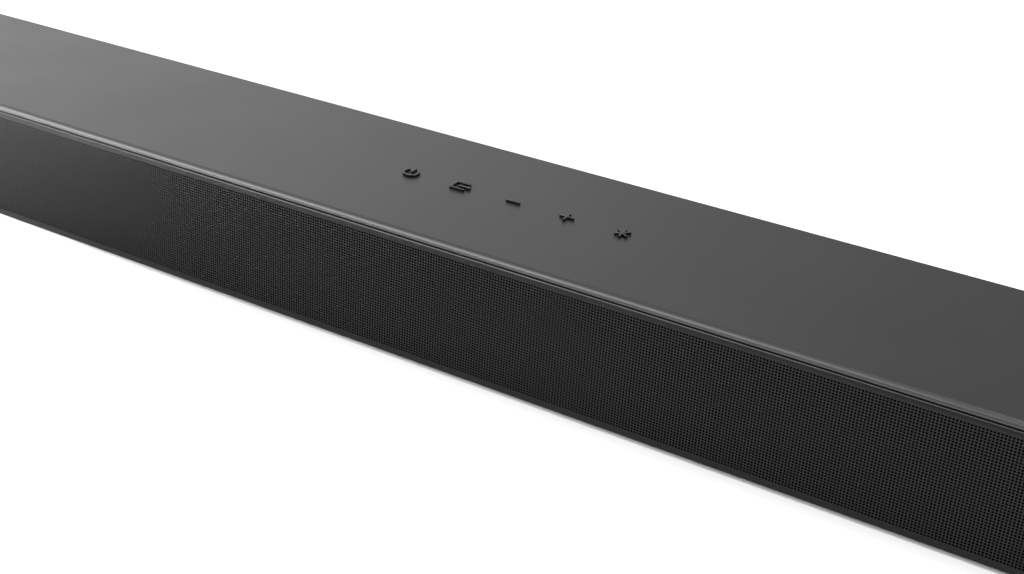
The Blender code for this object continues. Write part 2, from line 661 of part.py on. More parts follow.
def mouth_box(name, centre, width, height, depth, corner=0.0, segments=3):
    low = centre + Vector((-width / 2, -depth, -height / 2))
    high = centre + Vector((width / 2, MM, height / 2))
    return block(name, low, high, corner=corner, axis=1, segments=segments)


def make_sockets():
    inlet, c = socket_shell("power_inlet", RESIN)
    cut(inlet, mouth_box("inlet_mouth", c, 18.4 * MM, 9.4 * MM, 9.6 * MM, corner=4.4 * MM, segments=4))
    for n, dx in enumerate((-4.3 * MM, 4.3 * MM)):
        tip, root = c + Vector((dx, -2.5 * MM, 0)), c + Vector((dx, -12 * MM, 0))
        join(inlet, cylinder(f"inlet_pin_{n}", 1.2 * MM, root, tip, segments=12))
    optical, c = socket_shell("optical_socket", RESIN)
    cut(optical, mouth_box("optical_mouth", c, 6.4 * MM, 6.4 * MM, 8.0 * MM, corner=0.8 * MM, segments=1))
    for name, inner, tongue in (
        ("video_socket", (14.0 * MM, 4.9 * MM), (11.4 * MM, 1.0 * MM)),
        ("data_socket", (12.5 * MM, 5.4 * MM), (11.1 * MM, 1.8 * MM)),
    ):
        shell, c = socket_shell(name, SOCKET_STEEL)
        cut(shell, mouth_box(name + "_mouth", c, *inner, 8.5 * MM, corner=0.6 * MM, segments=1))
        width, thick = tongue
        low = c + Vector((-width / 2, -9.5 * MM, -thick / 2))
        join(shell, block(name + "_tongue", low, c + Vector((width / 2, -1.5 * MM, thick / 2))))


def make_boards():
    low = (MAIN_BOARD_X[0], BOARD_FRONT, BOARD_Z)
    main = block("main_board", low, (MAIN_BOARD_X[1], BOARD_BACK, BOARD_TOP), PCB)
    chips = ((205, -12, 14, 14, 1.6), (175, -22, 9, 9, 1.2), (240, -18, 10, 18, 6.0))
    for n, (x, y, w, d, h) in enumerate(chips):
        low = Vector((x - w / 2, y - d / 2, 0)) * MM
        high = Vector((x + w / 2, y + d / 2, h)) * MM
        low.z, high.z = BOARD_TOP - BOARD / 2, high.z + BOARD_TOP
        join(main, block(f"chip_{n}", low, high))
    base = BOARD_TOP + FIT
    low, high = (156 * MM, 2 * MM, base), (176 * MM, 12 * MM, base + 2.4 * MM)
    block("wireless_module", low, high, SOCKET_STEEL, corner=0.6 * MM, segments=1)

    low = (POWER_BOARD_X[0], BOARD_FRONT, BOARD_Z)
    block("power_board", low, (POWER_BOARD_X[1], BOARD_BACK, BOARD_TOP), PCB)
    low, high = (108 * MM, -14 * MM, base), (136 * MM, 12 * MM, base + 22 * MM)
    core = block("transformer", low, high, FERRITE, corner=1.0 * MM, segments=1)
    low, high = (112 * MM, -17 * MM, base + 4 * MM), (132 * MM, 15 * MM, base + 18 * MM)
    join(core, block("transformer_winding", low, high, corner=2.0 * MM, segments=2))
    cylinder("bulk_capacitor", 8 * MM, (88 * MM, -18 * MM, base), (88 * MM, -18 * MM, base + 30 * MM), RESIN)


def make_indicator_board():
    x = -DRIVER_PITCH / 2
    front = BAFFLE_FRONT - FIT - BOARD
    low, high = (x - 24 * MM, front, DRIVER_Z - 6 * MM), (x + 24 * MM, BAFFLE_FRONT - FIT, DRIVER_Z + 6 * MM)
    board = block("indicator_board", low, high, PCB)
    for n, dx in enumerate((-16 * MM, -8 * MM, 0.0)):
        low, high = (x + dx - MM, front - MM, DRIVER_Z - MM), (x + dx + MM, front + BOARD / 2, DRIVER_Z + MM)
        join(board, block(f"lamp_{n}", low, high))
    eye = Vector((x + 14 * MM, front + BOARD / 2, DRIVER_Z))
    join(board, cylinder("remote_eye", 2.2 * MM, eye, behind(eye, -2.2 * MM), segments=14))
    return board


def wire(name, points, radius):
    """A lead along a smooth curve through its points, which it samples evenly."""
    guide = [Vector(p) * MM for p in points]
    path = []
    per_span = 4
    for i in range(len(guide) - 1):
        p0, p1 = guide[max(i - 1, 0)], guide[i]
        p2, p3 = guide[i + 1], guide[min(i + 2, len(guide) - 1)]
        for step in range(per_span):
            t = step / per_span
            path.append(0.5 * (
                2 * p1 + (p2 - p0) * t + (2 * p0 - 5 * p1 + 4 * p2 - p3) * t ** 2
                + (3 * p1 - p0 - 3 * p2 + p3) * t ** 3
            ))
    path.append(guide[-1])
    curve = bpy.data.curves.new(name, "CURVE")
    curve.dimensions = "3D"
    curve.bevel_depth = radius
    curve.bevel_resolution = 1
    curve.use_fill_caps = True
    spline = curve.splines.new("POLY")
    spline.points.add(len(path) - 1)
    for point, place in zip(spline.points, path):
        point.co = (*place, 1.0)
    obj = bpy.data.objects.new(name, curve)
    curve.materials.append(WIRE)
    PARTS.objects.link(obj)


def make_wires():
    """Leads inside the case, in millimetres. They rise from the main board and run along the back wall."""
    lead_r = 1.3 * MM
    out, z = 41, 50
    board = (BOARD_TOP + FIT + lead_r) / MM
    key_end, key_under = KEY_X[-1] / MM + 2.5, (KEY_BOARD_TOP - BOARD - FIT - lead_r) / MM
    run = key_under + 1
    wire("speaker_lead_left", [
        (158, -28, board), (154, -26, 22), (150, 4, 42), (136, 30, z), (100, out, z), (20, out, z),
        (-80, out, z), (-200, out, z), (-290, out, 48), (-322, 30, 40), (-328, 12, 34), (-329, 1, 31),
    ], lead_r)
    wire("speaker_lead_centre", [
        (166, -30, board), (164, -24, 26), (140, 2, 44), (104, 22, 45), (60, 28, 42), (20, 24, 36),
        (4, 10, 32), (1, 1, 31),
    ], lead_r)
    wire("speaker_lead_right", [
        (256, -28, board), (262, -20, 26), (276, 6, 40), (300, 22, 40), (322, 18, 34), (329, 1, 31),
    ], lead_r)
    wire("key_cable", [
        (key_end, 0, key_under), (key_end + 8, -2, key_under), (80, -6, run), (112, -8, run), (150, -9, run),
        (184, -8, 36), (190, -4, 22), (191, -3, board),
    ], lead_r)
    wire("power_lead", [
        (140, -28, board), (141, -29, 18), (146, -30, 22), (151, -31, 20), (153, -32, board),
    ], lead_r)


DRIVERS = [("left", -DRIVER_PITCH), ("centre", 0.0), ("right", DRIVER_PITCH)]

make_top_cover()
for (key_name, key_icon), key_x in zip(KEYS, KEY_X):
    make_key(key_name, key_icon, key_x)
    make_switch(key_name, key_x)
make_key_board()
make_grille()
make_cloth()
make_case()
make_feet_and_screws()
make_baffle(DRIVERS)
for driver_side, driver_x in DRIVERS:
    make_driver(driver_side, driver_x)
make_tray()
make_sockets()
make_boards()
make_indicator_board()
make_wires()
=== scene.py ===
# %% [markdown]
# # A slim television soundbar
#
# The real bar is three big pieces: a satin plastic cover, a long perforated steel grille bent round
# the front and the ends, and a plastic case behind and below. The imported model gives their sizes
# and joints. This script gives them finer surfaces, finishes and light, one piece at a time.

import math

import bmesh
import bpy
import numpy as np
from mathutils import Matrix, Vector
from mathutils.geometry import delaunay_2d_cdt


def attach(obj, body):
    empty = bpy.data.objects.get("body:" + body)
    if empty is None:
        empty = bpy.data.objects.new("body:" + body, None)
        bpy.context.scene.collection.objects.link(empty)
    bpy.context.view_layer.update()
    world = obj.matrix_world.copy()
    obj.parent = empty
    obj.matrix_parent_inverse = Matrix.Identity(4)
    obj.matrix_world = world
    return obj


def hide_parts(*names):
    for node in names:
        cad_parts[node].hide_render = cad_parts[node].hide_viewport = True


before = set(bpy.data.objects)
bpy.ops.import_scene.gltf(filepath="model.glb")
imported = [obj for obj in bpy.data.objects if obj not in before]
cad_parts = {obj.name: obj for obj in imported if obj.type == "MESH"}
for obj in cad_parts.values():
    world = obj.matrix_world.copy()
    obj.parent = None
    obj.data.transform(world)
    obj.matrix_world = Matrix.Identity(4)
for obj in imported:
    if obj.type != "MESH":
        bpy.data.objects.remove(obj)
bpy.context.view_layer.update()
MM = 0.001

# %% [markdown]
# ## One place for each kind of helper
#
# Colours are given as web hex values, but a shader wants linear light, so one function
# converts them. Another adds a node, sets it and links it, and a third links what varies to the
# shader, which keeps each finish a short list.

# %% Colour and node helpers


def colour(code):
    """Linear RGBA of an sRGB hex value: each channel's 8-bit step through the sRGB curve."""
    steps = np.array([int(code[i : i + 2], 16) for i in (1, 3, 5)]) / 255
    linear = np.where(steps <= 0.04045, steps / 12.92, ((steps + 0.055) / 1.055) ** 2.4)
    return (*[float(v) for v in linear], 1.0)


def add(tree, kind, settings=None, stops=(), **inputs):
    """Adds a node. settings are its own values, stops are a colour ramp's places and hex colours,
    and inputs name a socket and give its value or the socket that feeds it. In a name, an
    underscore stands for a space, and i0, i1 and so on give an input by its number."""
    made = tree.nodes.new("ShaderNode" + kind)
    for name, value in (settings or {}).items():
        setattr(made, name, value)
    if stops:
        for element, (place, code) in zip(made.color_ramp.elements, stops):
            element.position, element.color = place, colour(code)
    for name, value in inputs.items():
        key = int(name[1:]) if name[0] == "i" and name[1:].isdigit() else name.replace("_", " ")
        if isinstance(value, bpy.types.NodeSocket):
            tree.links.new(value, made.inputs[key])
        else:
            made.inputs[key].default_value = value
    return made


def feed(tree, shader, **sources):
    """Links a socket to each named input of the shader."""
    for name, socket in sources.items():
        tree.links.new(socket, shader.inputs[name.replace("_", " ")])


def finish(name, build, **shader_values):
    """A material with a Principled shader. build(tree, shader) adds what varies over the surface."""
    made = bpy.data.materials.new(name)
    made.use_nodes = True
    tree = made.node_tree
    shader = tree.nodes["Principled BSDF"]
    for key, value in shader_values.items():
        shader.inputs[key.replace("_", " ")].default_value = value
    build(tree, shader)
    made.diffuse_color = shader.inputs["Base Color"].default_value
    return made


print("mid grey", [round(v, 4) for v in colour("#808080")])

# %% [markdown]
# ## Finishes of the bar's outside
#
# The cover and the case are the same black ABS, moulded in a steel tool that was spark-eroded to a
# very fine grain. The grain is far too small to see one by one, but it is what makes the plastic
# satin: it widens every reflection. The grille is punched first and painted after, so its paint is
# a little smoother than the plastic and lies round each hole's edge.

# %% Moulded ABS
WEAR_MM = 35


def fine_grain(tree, shader, grain_mm, depth_mm, strength, rough, spread):
    """Spark-eroded grain: cells of grain_mm that lift the surface by depth_mm, and a roughness
    that wanders by spread over some centimetres, as handling and mould wear leave it."""
    place = add(tree, "TexCoord").outputs["Object"]
    grain = add(tree, "TexNoise", Vector=place, Scale=1 / (grain_mm * MM), Detail=2.0, Roughness=0.55)
    bump = add(tree, "Bump", Height=grain.outputs["Fac"], Strength=strength, Distance=depth_mm * MM)
    wear = add(tree, "TexNoise", Vector=place, Scale=1 / (WEAR_MM * MM), Detail=3.0)
    least, most = rough - spread, rough + spread
    spot = add(tree, "MapRange", Value=wear.outputs["Fac"], i1=0.3, i2=0.7, i3=least, i4=most)
    feed(tree, shader, Normal=bump.outputs["Normal"], Roughness=spot.outputs["Result"])
    return place


def tinted(tree, shader, place, dark, light, size_mm):
    """Base colour that drifts between two near shades over size_mm."""
    drift = add(tree, "TexNoise", Vector=place, Scale=1 / (size_mm * MM), Detail=2.0)
    tint = add(tree, "ValToRGB", stops=((0.35, dark), (0.65, light)), Fac=drift.outputs["Fac"])
    feed(tree, shader, Base_Color=tint.outputs["Color"])


def cover_look(tree, shader):
    # The eye gets a soft dark grey sheet whose highlights have no hard edge. The grain is 0.25 mm.
    place = fine_grain(tree, shader, grain_mm=0.25, depth_mm=0.012, strength=0.25, rough=0.38, spread=0.015)
    tinted(tree, shader, place, "#19191a", "#1c1c1d", 60)


def case_look(tree, shader):
    # The same plastic, from a coarser-grained tool half: 0.4 mm grain that shows in raking light.
    place = fine_grain(tree, shader, grain_mm=0.4, depth_mm=0.04, strength=0.5, rough=0.5, spread=0.03)
    tinted(tree, shader, place, "#1c1c1d", "#202021", 40)


def recess_look(tree, shader):
    # Untextured black ABS inside the recess and the case, duller for the flow marks of the mould.
    place = fine_grain(tree, shader, grain_mm=0.8, depth_mm=0.03, strength=0.35, rough=0.55, spread=0.05)
    tinted(tree, shader, place, "#131314", "#18181a", 25)


def shade_painted_look(tree, shader):
    # Near-black ABS with little gloss for the walls at edges and gaps: painted shade, much darker than the
    # moulding's own colour, so these walls look jet black.
    place = fine_grain(tree, shader, grain_mm=0.6, depth_mm=0.01, strength=0.2, rough=0.6, spread=0.04)
    tinted(tree, shader, place, "#050505", "#080808", 3)


ABS_COVER = finish("moulded_abs_satin_cover", cover_look, Specular_IOR_Level=0.8)
ABS_CASE = finish("moulded_abs_grained_case", case_look, Specular_IOR_Level=0.4)
ABS_RECESS = finish("moulded_abs_plain_recess", recess_look, Specular_IOR_Level=0.35)
# Its near-black colour is painted shade for walls inside gaps.
ABS_SHADE_PAINTED = finish("moulded_abs_bare_wall", shade_painted_look, Specular_IOR_Level=0.08)
print("plastics", ABS_COVER.name, ABS_CASE.name, ABS_RECESS.name, ABS_SHADE_PAINTED.name)

# %% [markdown]
# The steel's paint is stoved, the scrim is woven and the feet are cut from rubber sheet, so the
# three differ in how wide a reflection they give: the paint's is clear, the others' hardly there.

# %% Painted steel, cloth and rubber
THREAD_MM = 0.35


def paint_look(tree, shader):
    # Stoved black paint: the faint orange peel, 0.9 mm from crest to crest, softens its gloss.
    place = fine_grain(tree, shader, grain_mm=0.9, depth_mm=0.02, strength=0.2, rough=0.42, spread=0.02)
    tinted(tree, shader, place, "#060606", "#080808", 50)


def cloth_look(tree, shader):
    # Woven polyester scrim. Threads are 0.25 mm apart on the real one, and drawn 0.35 mm apart so
    # that they show through the holes. u runs along the bar and v up it, both in metres.
    place = add(tree, "UVMap", {"uv_map": "weave"}).outputs["UV"]
    waves = math.pi / (10 * THREAD_MM * MM)
    warp = add(tree, "TexWave", {"bands_direction": "X"}, Vector=place, Scale=waves)
    weft = add(tree, "TexWave", {"bands_direction": "Y"}, Vector=place, Scale=waves)
    both = add(tree, "Math", {"operation": "MAXIMUM"}, i0=warp.outputs["Fac"], i1=weft.outputs["Fac"])
    bump = add(tree, "Bump", Height=both.outputs["Value"], Strength=0.6, Distance=0.08 * MM)
    tint = add(tree, "ValToRGB", stops=((0.2, "#050505"), (0.9, "#0b0b0c")), Fac=both.outputs["Value"])
    feed(tree, shader, Normal=bump.outputs["Normal"], Base_Color=tint.outputs["Color"])


def rubber_look(tree, shader):
    # Die-cut rubber: dead matt, with a dusty bloom in patches of a few millimetres.
    place = fine_grain(tree, shader, grain_mm=0.5, depth_mm=0.04, strength=0.5, rough=0.85, spread=0.05)
    tinted(tree, shader, place, "#141414", "#1b1b1b", 6)


def highlight_painted_look(tree, shader):
    # The same paint on the bent shoulder, glossier, and paler as a painted highlight for the bright line
    # along the gap.
    place = fine_grain(tree, shader, grain_mm=0.9, depth_mm=0.01, strength=0.2, rough=0.38, spread=0.04)
    tinted(tree, shader, place, "#1c1c1c", "#262626", 12)


PAINT = finish("stoved_paint_on_punched_steel", paint_look, Specular_IOR_Level=0.255)
# The shoulder's paler paint is a painted highlight.
PAINT_HIGHLIGHT_PAINTED = finish("stoved_paint_rubbed_edge", highlight_painted_look, Specular_IOR_Level=0.62)
CLOTH = finish("woven_polyester_scrim", cloth_look, Roughness=0.95, Specular_IOR_Level=0.1)
RUBBER = finish("die_cut_rubber", rubber_look, Specular_IOR_Level=0.3)
print("finishes so far", len(bpy.data.materials))

# %% [markdown]
# ## The outline that everything follows
#
# Seen from above, cover, grille and cloth share one outline: a long rectangle with 12 mm corners.
# A piece is then a small cross-section carried along that outline, drawn in by an inset. Working
# with the distance along the outline, rather than x and y, lets the holes of the grille walk
# round the corners without stretching.

# %% Points along the outline
HALF_X, HALF_Y, CORNER = 425 * MM, 49.5 * MM, 12 * MM
STRAIGHT, QUARTER = HALF_X - CORNER, CORNER * math.pi / 2


def along_front(s):
    """Points and outward normals at distances s from the middle of the front, right positive:
    a straight front, then a quarter circle of the corner's radius, then straight back along the end."""
    side, run = np.sign(s), np.abs(s)
    turn = np.clip((run - STRAIGHT) / CORNER, 0, math.pi / 2)
    back = np.clip(run - STRAIGHT - QUARTER, 0, None)
    x = np.minimum(run, STRAIGHT) + CORNER * np.sin(turn)
    y = -HALF_Y + CORNER * (1 - np.cos(turn)) + back
    return np.stack([side * x, y], -1), np.stack([side * np.sin(turn), -np.cos(turn)], -1)


def round_plan(steps):
    """The closed outline, anticlockwise: each corner's centre plus its radius at steps angles."""
    turn = np.radians(np.linspace(0, 90, steps))[None] + np.radians([0, 90, 180, 270])[:, None]
    normal = np.stack([np.cos(turn), np.sin(turn)], -1)
    centre = np.array([[1, 1], [-1, 1], [-1, -1], [1, -1]]) * [STRAIGHT, HALF_Y - CORNER]
    return (centre[:, None] + CORNER * normal).reshape(-1, 2), normal.reshape(-1, 2)


def swept(points, normals, section):
    """A section of (inset, height) pairs in mm carried along an outline: each point moves inwards
    against its normal by the inset, and up to the height. Returns an array of outline x section x 3."""
    inset, height = np.array(section).T * MM
    flat = points[:, None] - normals[:, None] * inset[None, :, None]
    return np.concatenate([flat, np.broadcast_to(height[None, :, None], (*flat.shape[:2], 1))], -1)


def quads(rows, columns, closed=False):
    """Faces of a grid whose points are numbered row by row. closed joins the last row to the first."""
    numbers = np.arange(rows * columns).reshape(rows, columns)
    if closed:
        numbers = np.vstack([numbers, numbers[:1]])
    a, b, c, d = numbers[:-1, :-1], numbers[1:, :-1], numbers[1:, 1:], numbers[:-1, 1:]
    return np.stack([a, b, c, d], -1).reshape(-1, 4)


def arc(centre, radius, first, last, steps):
    """Section points on a circle of (inset, height), between two angles in degrees from level out."""
    turn = np.radians(np.linspace(first, last, steps))
    return [(centre[0] - radius * math.cos(t), centre[1] + radius * math.sin(t)) for t in turn]


END_RUN = 65 * MM  # how far the grille runs back along each end
print("outline length", round(2 * (STRAIGHT + QUARTER + END_RUN), 4))

# %% [markdown]
# Every new piece ends the same way: arrays become a mesh, doubled points are merged, faces are
# turned outwards, the piece is told which body it rides on, and the CAD nodes it stands for are hidden.

# %% From arrays to an object


def piece(name, points, faces, look, body="housing", slot=None, replaces=(), sharp=35, outward=True, uv=None):
    """A mesh object from point and face arrays. faces is one array or a list of faces of any size.
    outward merges doubles and turns the faces of a closed shell outwards. Edges over sharp degrees
    stay crisp and the rest shade smooth."""
    mesh = bpy.data.meshes.new(name)
    lists = faces.tolist() if isinstance(faces, np.ndarray) else faces
    mesh.from_pydata(np.asarray(points).reshape(-1, 3).tolist(), [], lists)
    if outward:
        bm = bmesh.new()
        bm.from_mesh(mesh)
        bmesh.ops.remove_doubles(bm, verts=bm.verts, dist=1e-7)
        bmesh.ops.recalc_face_normals(bm, faces=bm.faces)
        bm.to_mesh(mesh)
        bm.free()
    if uv is not None:
        layer = mesh.uv_layers.new(name=uv[0])
        corner = np.empty(len(mesh.loops), np.int32)
        mesh.loops.foreach_get("vertex_index", corner)
        layer.data.foreach_set("uv", np.asarray(uv[1], np.float32)[corner].ravel())
    mesh.shade_smooth()
    mesh.set_sharp_from_angle(angle=math.radians(sharp))
    mesh.materials.append(look)
    made = bpy.data.objects.new(name, mesh)
    bpy.context.scene.collection.objects.link(made)
    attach(made, body)
    if replaces:
        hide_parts(*replaces)
    return made


print("maker ready")

# %% [markdown]
# ## The perforated sheet
#
# The grille is 0.8 mm steel with round holes on a square grid, 1.27 mm apart, 41 rows of 776. Each
# cell is a square plate round an eight-sided hole, whose wall runs back through the sheet. All the
# cells of a strip are one array: cell corners and hole rings are worked out for every cell at once.
# The whole sheet would be too many triangles for one piece, so it is cut into eight strips that
# share their edge lines.

# %% Hole cells
PITCH, HOLE, SHEET = 1.27 * MM, 0.49 * MM, 0.8 * MM
ROWS, COLUMNS, STRIPS = 41, 776, 8
LOWEST = 5.43 * MM  # middle of the lowest row
PLATE_LOW, PLATE_HIGH = LOWEST - PITCH / 2, LOWEST + (ROWS - 0.5) * PITCH
PLATE_END = COLUMNS / 2 * PITCH


def perforated(first, last):
    """Points and quads of the sheet from column first to last. A cell's outline is its square's
    corners and edge middles, its hole ring is the middle plus the hole's radius in eight
    directions, and the same ring again at the sheet's depth makes the hole's wall."""
    half_columns = np.arange(2 * first, 2 * last + 1) * PITCH / 2 - PLATE_END
    half_rows = PLATE_LOW + np.arange(2 * ROWS + 1) * PITCH / 2
    across, up = np.meshgrid(half_columns, half_rows, indexing="ij")
    count = last - first
    mid_s, mid_z = across[1::2, 1::2], up[1::2, 1::2]
    turn = np.radians([225, 270, 315, 0, 45, 90, 135, 180])
    ring_s = mid_s[..., None] + HOLE * np.cos(turn)
    ring_z = mid_z[..., None] + HOLE * np.sin(turn)
    number = np.arange(across.size).reshape(across.shape)
    i, j = 2 * np.arange(count)[:, None], 2 * np.arange(ROWS)[None]
    steps = [(0, 0), (1, 0), (2, 0), (2, 1), (2, 2), (1, 2), (0, 2), (0, 1)]
    outline = np.stack([number[i + a, j + b] for a, b in steps], -1)
    front = across.size + np.arange(ring_s.size).reshape(ring_s.shape)
    back = front + ring_s.size
    turn_on = lambda v: np.roll(v, -1, -1)
    plate = np.stack([outline, turn_on(outline), turn_on(front), front], -1)
    wall = np.stack([front, turn_on(front), turn_on(back), back], -1)
    s = np.concatenate([across.ravel(), ring_s.ravel(), ring_s.ravel()])
    z = np.concatenate([up.ravel(), ring_z.ravel(), ring_z.ravel()])
    depth = np.repeat([0.0, 0.0, SHEET], [across.size, ring_s.size, ring_s.size])
    flat, normal = along_front(s)
    points = np.column_stack([flat - normal * depth[:, None], z])
    # On the paint's own map the wall fills part of the hole, so that it isn't folded to nothing.
    shrink = np.where(depth > 0, 0.45, 1.0)
    ring_mid_s, ring_mid_z = np.repeat(mid_s.ravel(), 8), np.repeat(mid_z.ravel(), 8)
    middle_s = np.concatenate([across.ravel(), ring_mid_s, ring_mid_s])
    middle_z = np.concatenate([up.ravel(), ring_mid_z, ring_mid_z])
    u = (middle_s + (s - middle_s) * shrink - s.min()) / (s.max() - s.min())
    v = (middle_z + (z - middle_z) * shrink - z.min()) / (s.max() - s.min())
    faces = np.concatenate([plate.reshape(-1, 4), wall.reshape(-1, 4)])
    used = np.unique(faces)
    place = np.zeros(len(s), np.int64)
    place[used] = np.arange(len(used))
    return points[used], place[faces], np.column_stack([u, v])[used]


edges = np.linspace(0, COLUMNS, STRIPS + 1).astype(int)
grille_strips = []
for n, (first, last) in enumerate(zip(edges[:-1], edges[1:])):
    points, faces, paint_map = perforated(first, last)
    name, paint_uv = f"grille_holes_{n + 1}", ("OFBake", paint_map)
    grille_strips.append(piece(name, points, faces, PAINT, slot="grille", outward=False, uv=paint_uv))
print("holes", ROWS * COLUMNS, "triangles", 2 * sum(len(o.data.polygons) for o in grille_strips))

# %% [markdown]
# ## The grille's plain borders
#
# Above and below the holes the sheet is left whole, and its edges are rounded by the paint and by
# the press that bent it. These borders are one section each, carried round the front. The upper
# one ends in a rounded shoulder, which catches the light as a thin bright line along the dark gap
# under the cover. The shoulder's paint is also paler, a painted highlight that brightens that line.

# %% Borders of the grille
LOW, HIGH, SHEET_END = 1.6, 59.35, STRAIGHT + QUARTER + END_RUN
low_mm, high_mm = PLATE_LOW / MM, PLATE_HIGH / MM


def front_stops(end, straight_steps=60, corner_steps=20):
    """Distances along the front: even on the straights, and finer round each corner."""
    half = np.concatenate([
        np.linspace(0, STRAIGHT, straight_steps),
        STRAIGHT + np.linspace(0, QUARTER, corner_steps)[1:],
        np.linspace(STRAIGHT + QUARTER, end, 8)[1:],
    ])
    return np.concatenate([-half[:0:-1], half])


def border(name, section, stops, replaces=()):
    """A section carried along the front between its ends, each end closed by one flat face."""
    grid = swept(*along_front(stops), section)
    rows, columns = grid.shape[:2]
    faces = quads(rows, columns).tolist()
    faces += [list(range(columns)), list(range(rows * columns - columns, rows * columns))[::-1]]
    starts = range(0, (rows - 1) * columns, columns)
    back = [[a, a + columns, a + 2 * columns - 1, a + columns - 1] for a in starts]
    return piece(name, grid, faces + back, PAINT, slot="grille", replaces=replaces)


# The press leaves the upper border leaning back: its face is an arc that ends at 22 degrees, and
# goes over into a shoulder of 0.9 mm that ends at 55 degrees and catches the light.
LEAN_END, SHOULDER_END, SHOULDER_R, TIP_R = 22, 55, 0.9, 0.2
lean_sin, lean_cos = math.sin(math.radians(LEAN_END)), math.cos(math.radians(LEAN_END))
end_sin, end_cos = math.sin(math.radians(SHOULDER_END)), math.cos(math.radians(SHOULDER_END))
lean_foot = high_mm + 0.05
lean_top = HIGH - TIP_R * (1 - end_sin) - SHOULDER_R * (end_sin - lean_sin)
lean_r = (lean_top - lean_foot) / lean_sin
lean = arc((lean_r, lean_foot), lean_r, 0, LEAN_END, 8)
lean_in, lean_up = lean[-1]
shoulder_mid = (lean_in + SHOULDER_R * lean_cos, lean_up - SHOULDER_R * lean_sin)
shoulder = arc(shoulder_mid, SHOULDER_R, LEAN_END, SHOULDER_END, 6)[1:]
tip = arc((shoulder[-1][0] + TIP_R * end_cos, HIGH - TIP_R), TIP_R, SHOULDER_END, 90, 4)[1:]
inner_r = lean_in + 0.8 - tip[-1][0]
inner_edge = arc((tip[-1][0], HIGH - inner_r), inner_r, 90, 180, 6)[1:]
inner_face = [(inset + 0.8, height) for inset, height in lean[::-1] if height < HIGH - 0.6]
top_section = [(0.0, high_mm), *lean, *shoulder, *tip, *inner_edge, *inner_face, (0.8, high_mm)]
low_edges = [*arc((0.6, LOW + 0.2), 0.2, 180, 270, 3), *arc((0.5, LOW + 0.5), 0.5, 270, 360, 7)]
low_section = [(0.8, low_mm), *low_edges, (0.0, low_mm)]
stops = front_stops(SHEET_END)
upper = border("grille_upper_border", top_section, stops, replaces=("front_grille",))
# The shoulder's faces are those between the end of the lean and the tip, once for each stop.
# The shoulder takes the paler paint: a painted highlight.
upper.data.materials.append(PAINT_HIGHLIGHT_PAINTED)
bands, runs = len(top_section) - 1, len(stops) - 1
band_of = np.full(len(upper.data.polygons), -1)
band_of[: runs * bands] = np.tile(np.arange(bands), runs)
on_shoulder = (band_of >= len(lean)) & (band_of < len(lean) + len(shoulder))
upper.data.polygons.foreach_set("material_index", on_shoulder.astype(np.int32))
border("grille_lower_border", low_section, stops)

# %% [markdown]
# The sheet's two ends are cut square and rounded by the paint. Each is the same idea turned on its
# side: a section of distance along the outline and inset, carried straight up.

# %% Ends of the grille


def upright(flat, heights):
    """A grid of plan points by heights: each point in plan is repeated at every height."""
    size = (len(flat), len(heights))
    rise = np.broadcast_to(heights[None, :, None], (*size, 1))
    return np.concatenate([np.broadcast_to(flat[:, None], (*size, 2)), rise], -1)


def end_border(name, side):
    """The plain strip at one end: outer face, rounded end edge and inner face, drawn as distances
    and insets, and carried straight up from the lower border to the upper one."""
    turn = np.linspace(0, math.pi, 9)
    s = np.concatenate([[PLATE_END], SHEET_END - SHEET / 2 + SHEET / 2 * np.sin(turn), [PLATE_END]])
    inset = np.concatenate([[0.0], SHEET / 2 * (1 - np.cos(turn)), [SHEET]])
    flat, normal = along_front(side * s)
    flat = flat - normal * inset[:, None]
    grid = upright(flat, np.array([PLATE_LOW, PLATE_HIGH]))
    count = len(s)
    faces = quads(count, 2).tolist() + [[0, 1, 2 * count - 1, 2 * count - 2]]
    faces += [list(range(0, 2 * count, 2)), list(range(1, 2 * count, 2))[::-1]]
    return piece(name, grid, faces, PAINT, slot="grille")


end_border("grille_end_left", -1)
end_border("grille_end_right", 1)
print("grille borders done")

# %% [markdown]
# ## The cloth behind the holes
#
# A black scrim is stretched over the case, half a millimetre behind the steel, so that the
# drivers don't show. It is one surface with the weave drawn on its own map, which runs along the
# bar and up it in real millimetres.

# %% Stretched scrim
CLOTH_IN, CLOTH_LOW, CLOTH_HIGH = 1.3, 3.6 * MM, 57.6 * MM
cloth_stops = front_stops(SHEET_END - 4 * MM)
heights = np.linspace(CLOTH_LOW, CLOTH_HIGH, 19)
flat, normal = along_front(cloth_stops)
flat = flat - normal * CLOTH_IN * MM
grid = upright(flat, heights)
weave = np.stack(np.meshgrid(cloth_stops, heights, indexing="ij"), -1).reshape(-1, 2)
faces = quads(len(flat), len(heights))
on_map = {"outward": False, "uv": ("weave", weave)}
scrim = piece("grille_scrim", grid, faces, CLOTH, slot="cloth", replaces=("grille_cloth",), **on_map)

# %% [markdown]
# ## Icons as outlines that can grow
#
# Each key is its icon, standing through an opening of the same shape. One function per icon gives
# its outline at any growth: nothing for the key's wall, a little less for its rounded top, and the
# clearance for the cover's opening. The same number of points each time lets outlines be joined
# into walls.

# %% Icon outlines, in millimetres round the key's centre
STROKE, CLEARANCE = 0.95, 0.2


def arms(angles, reach, grow):
    """Strokes from one middle: each arm's two tip corners, and between two arms the notch where
    their sides meet, half a stroke over the sine of half the angle between them, from the middle."""
    half, turn = STROKE / 2 + grow, np.radians(angles)
    gap = np.mod(np.roll(turn, -1) - turn, 2 * np.pi)
    along = np.stack([np.cos(turn), np.sin(turn)], -1)
    across = np.stack([-along[:, 1], along[:, 0]], -1) * half
    tip = along * (reach + grow)
    notch = (half / np.sin(gap / 2))[:, None] * np.stack([np.cos(turn + gap / 2), np.sin(turn + gap / 2)], -1)
    return np.stack([tip - across, tip + across, notch], 1).reshape(-1, 2)


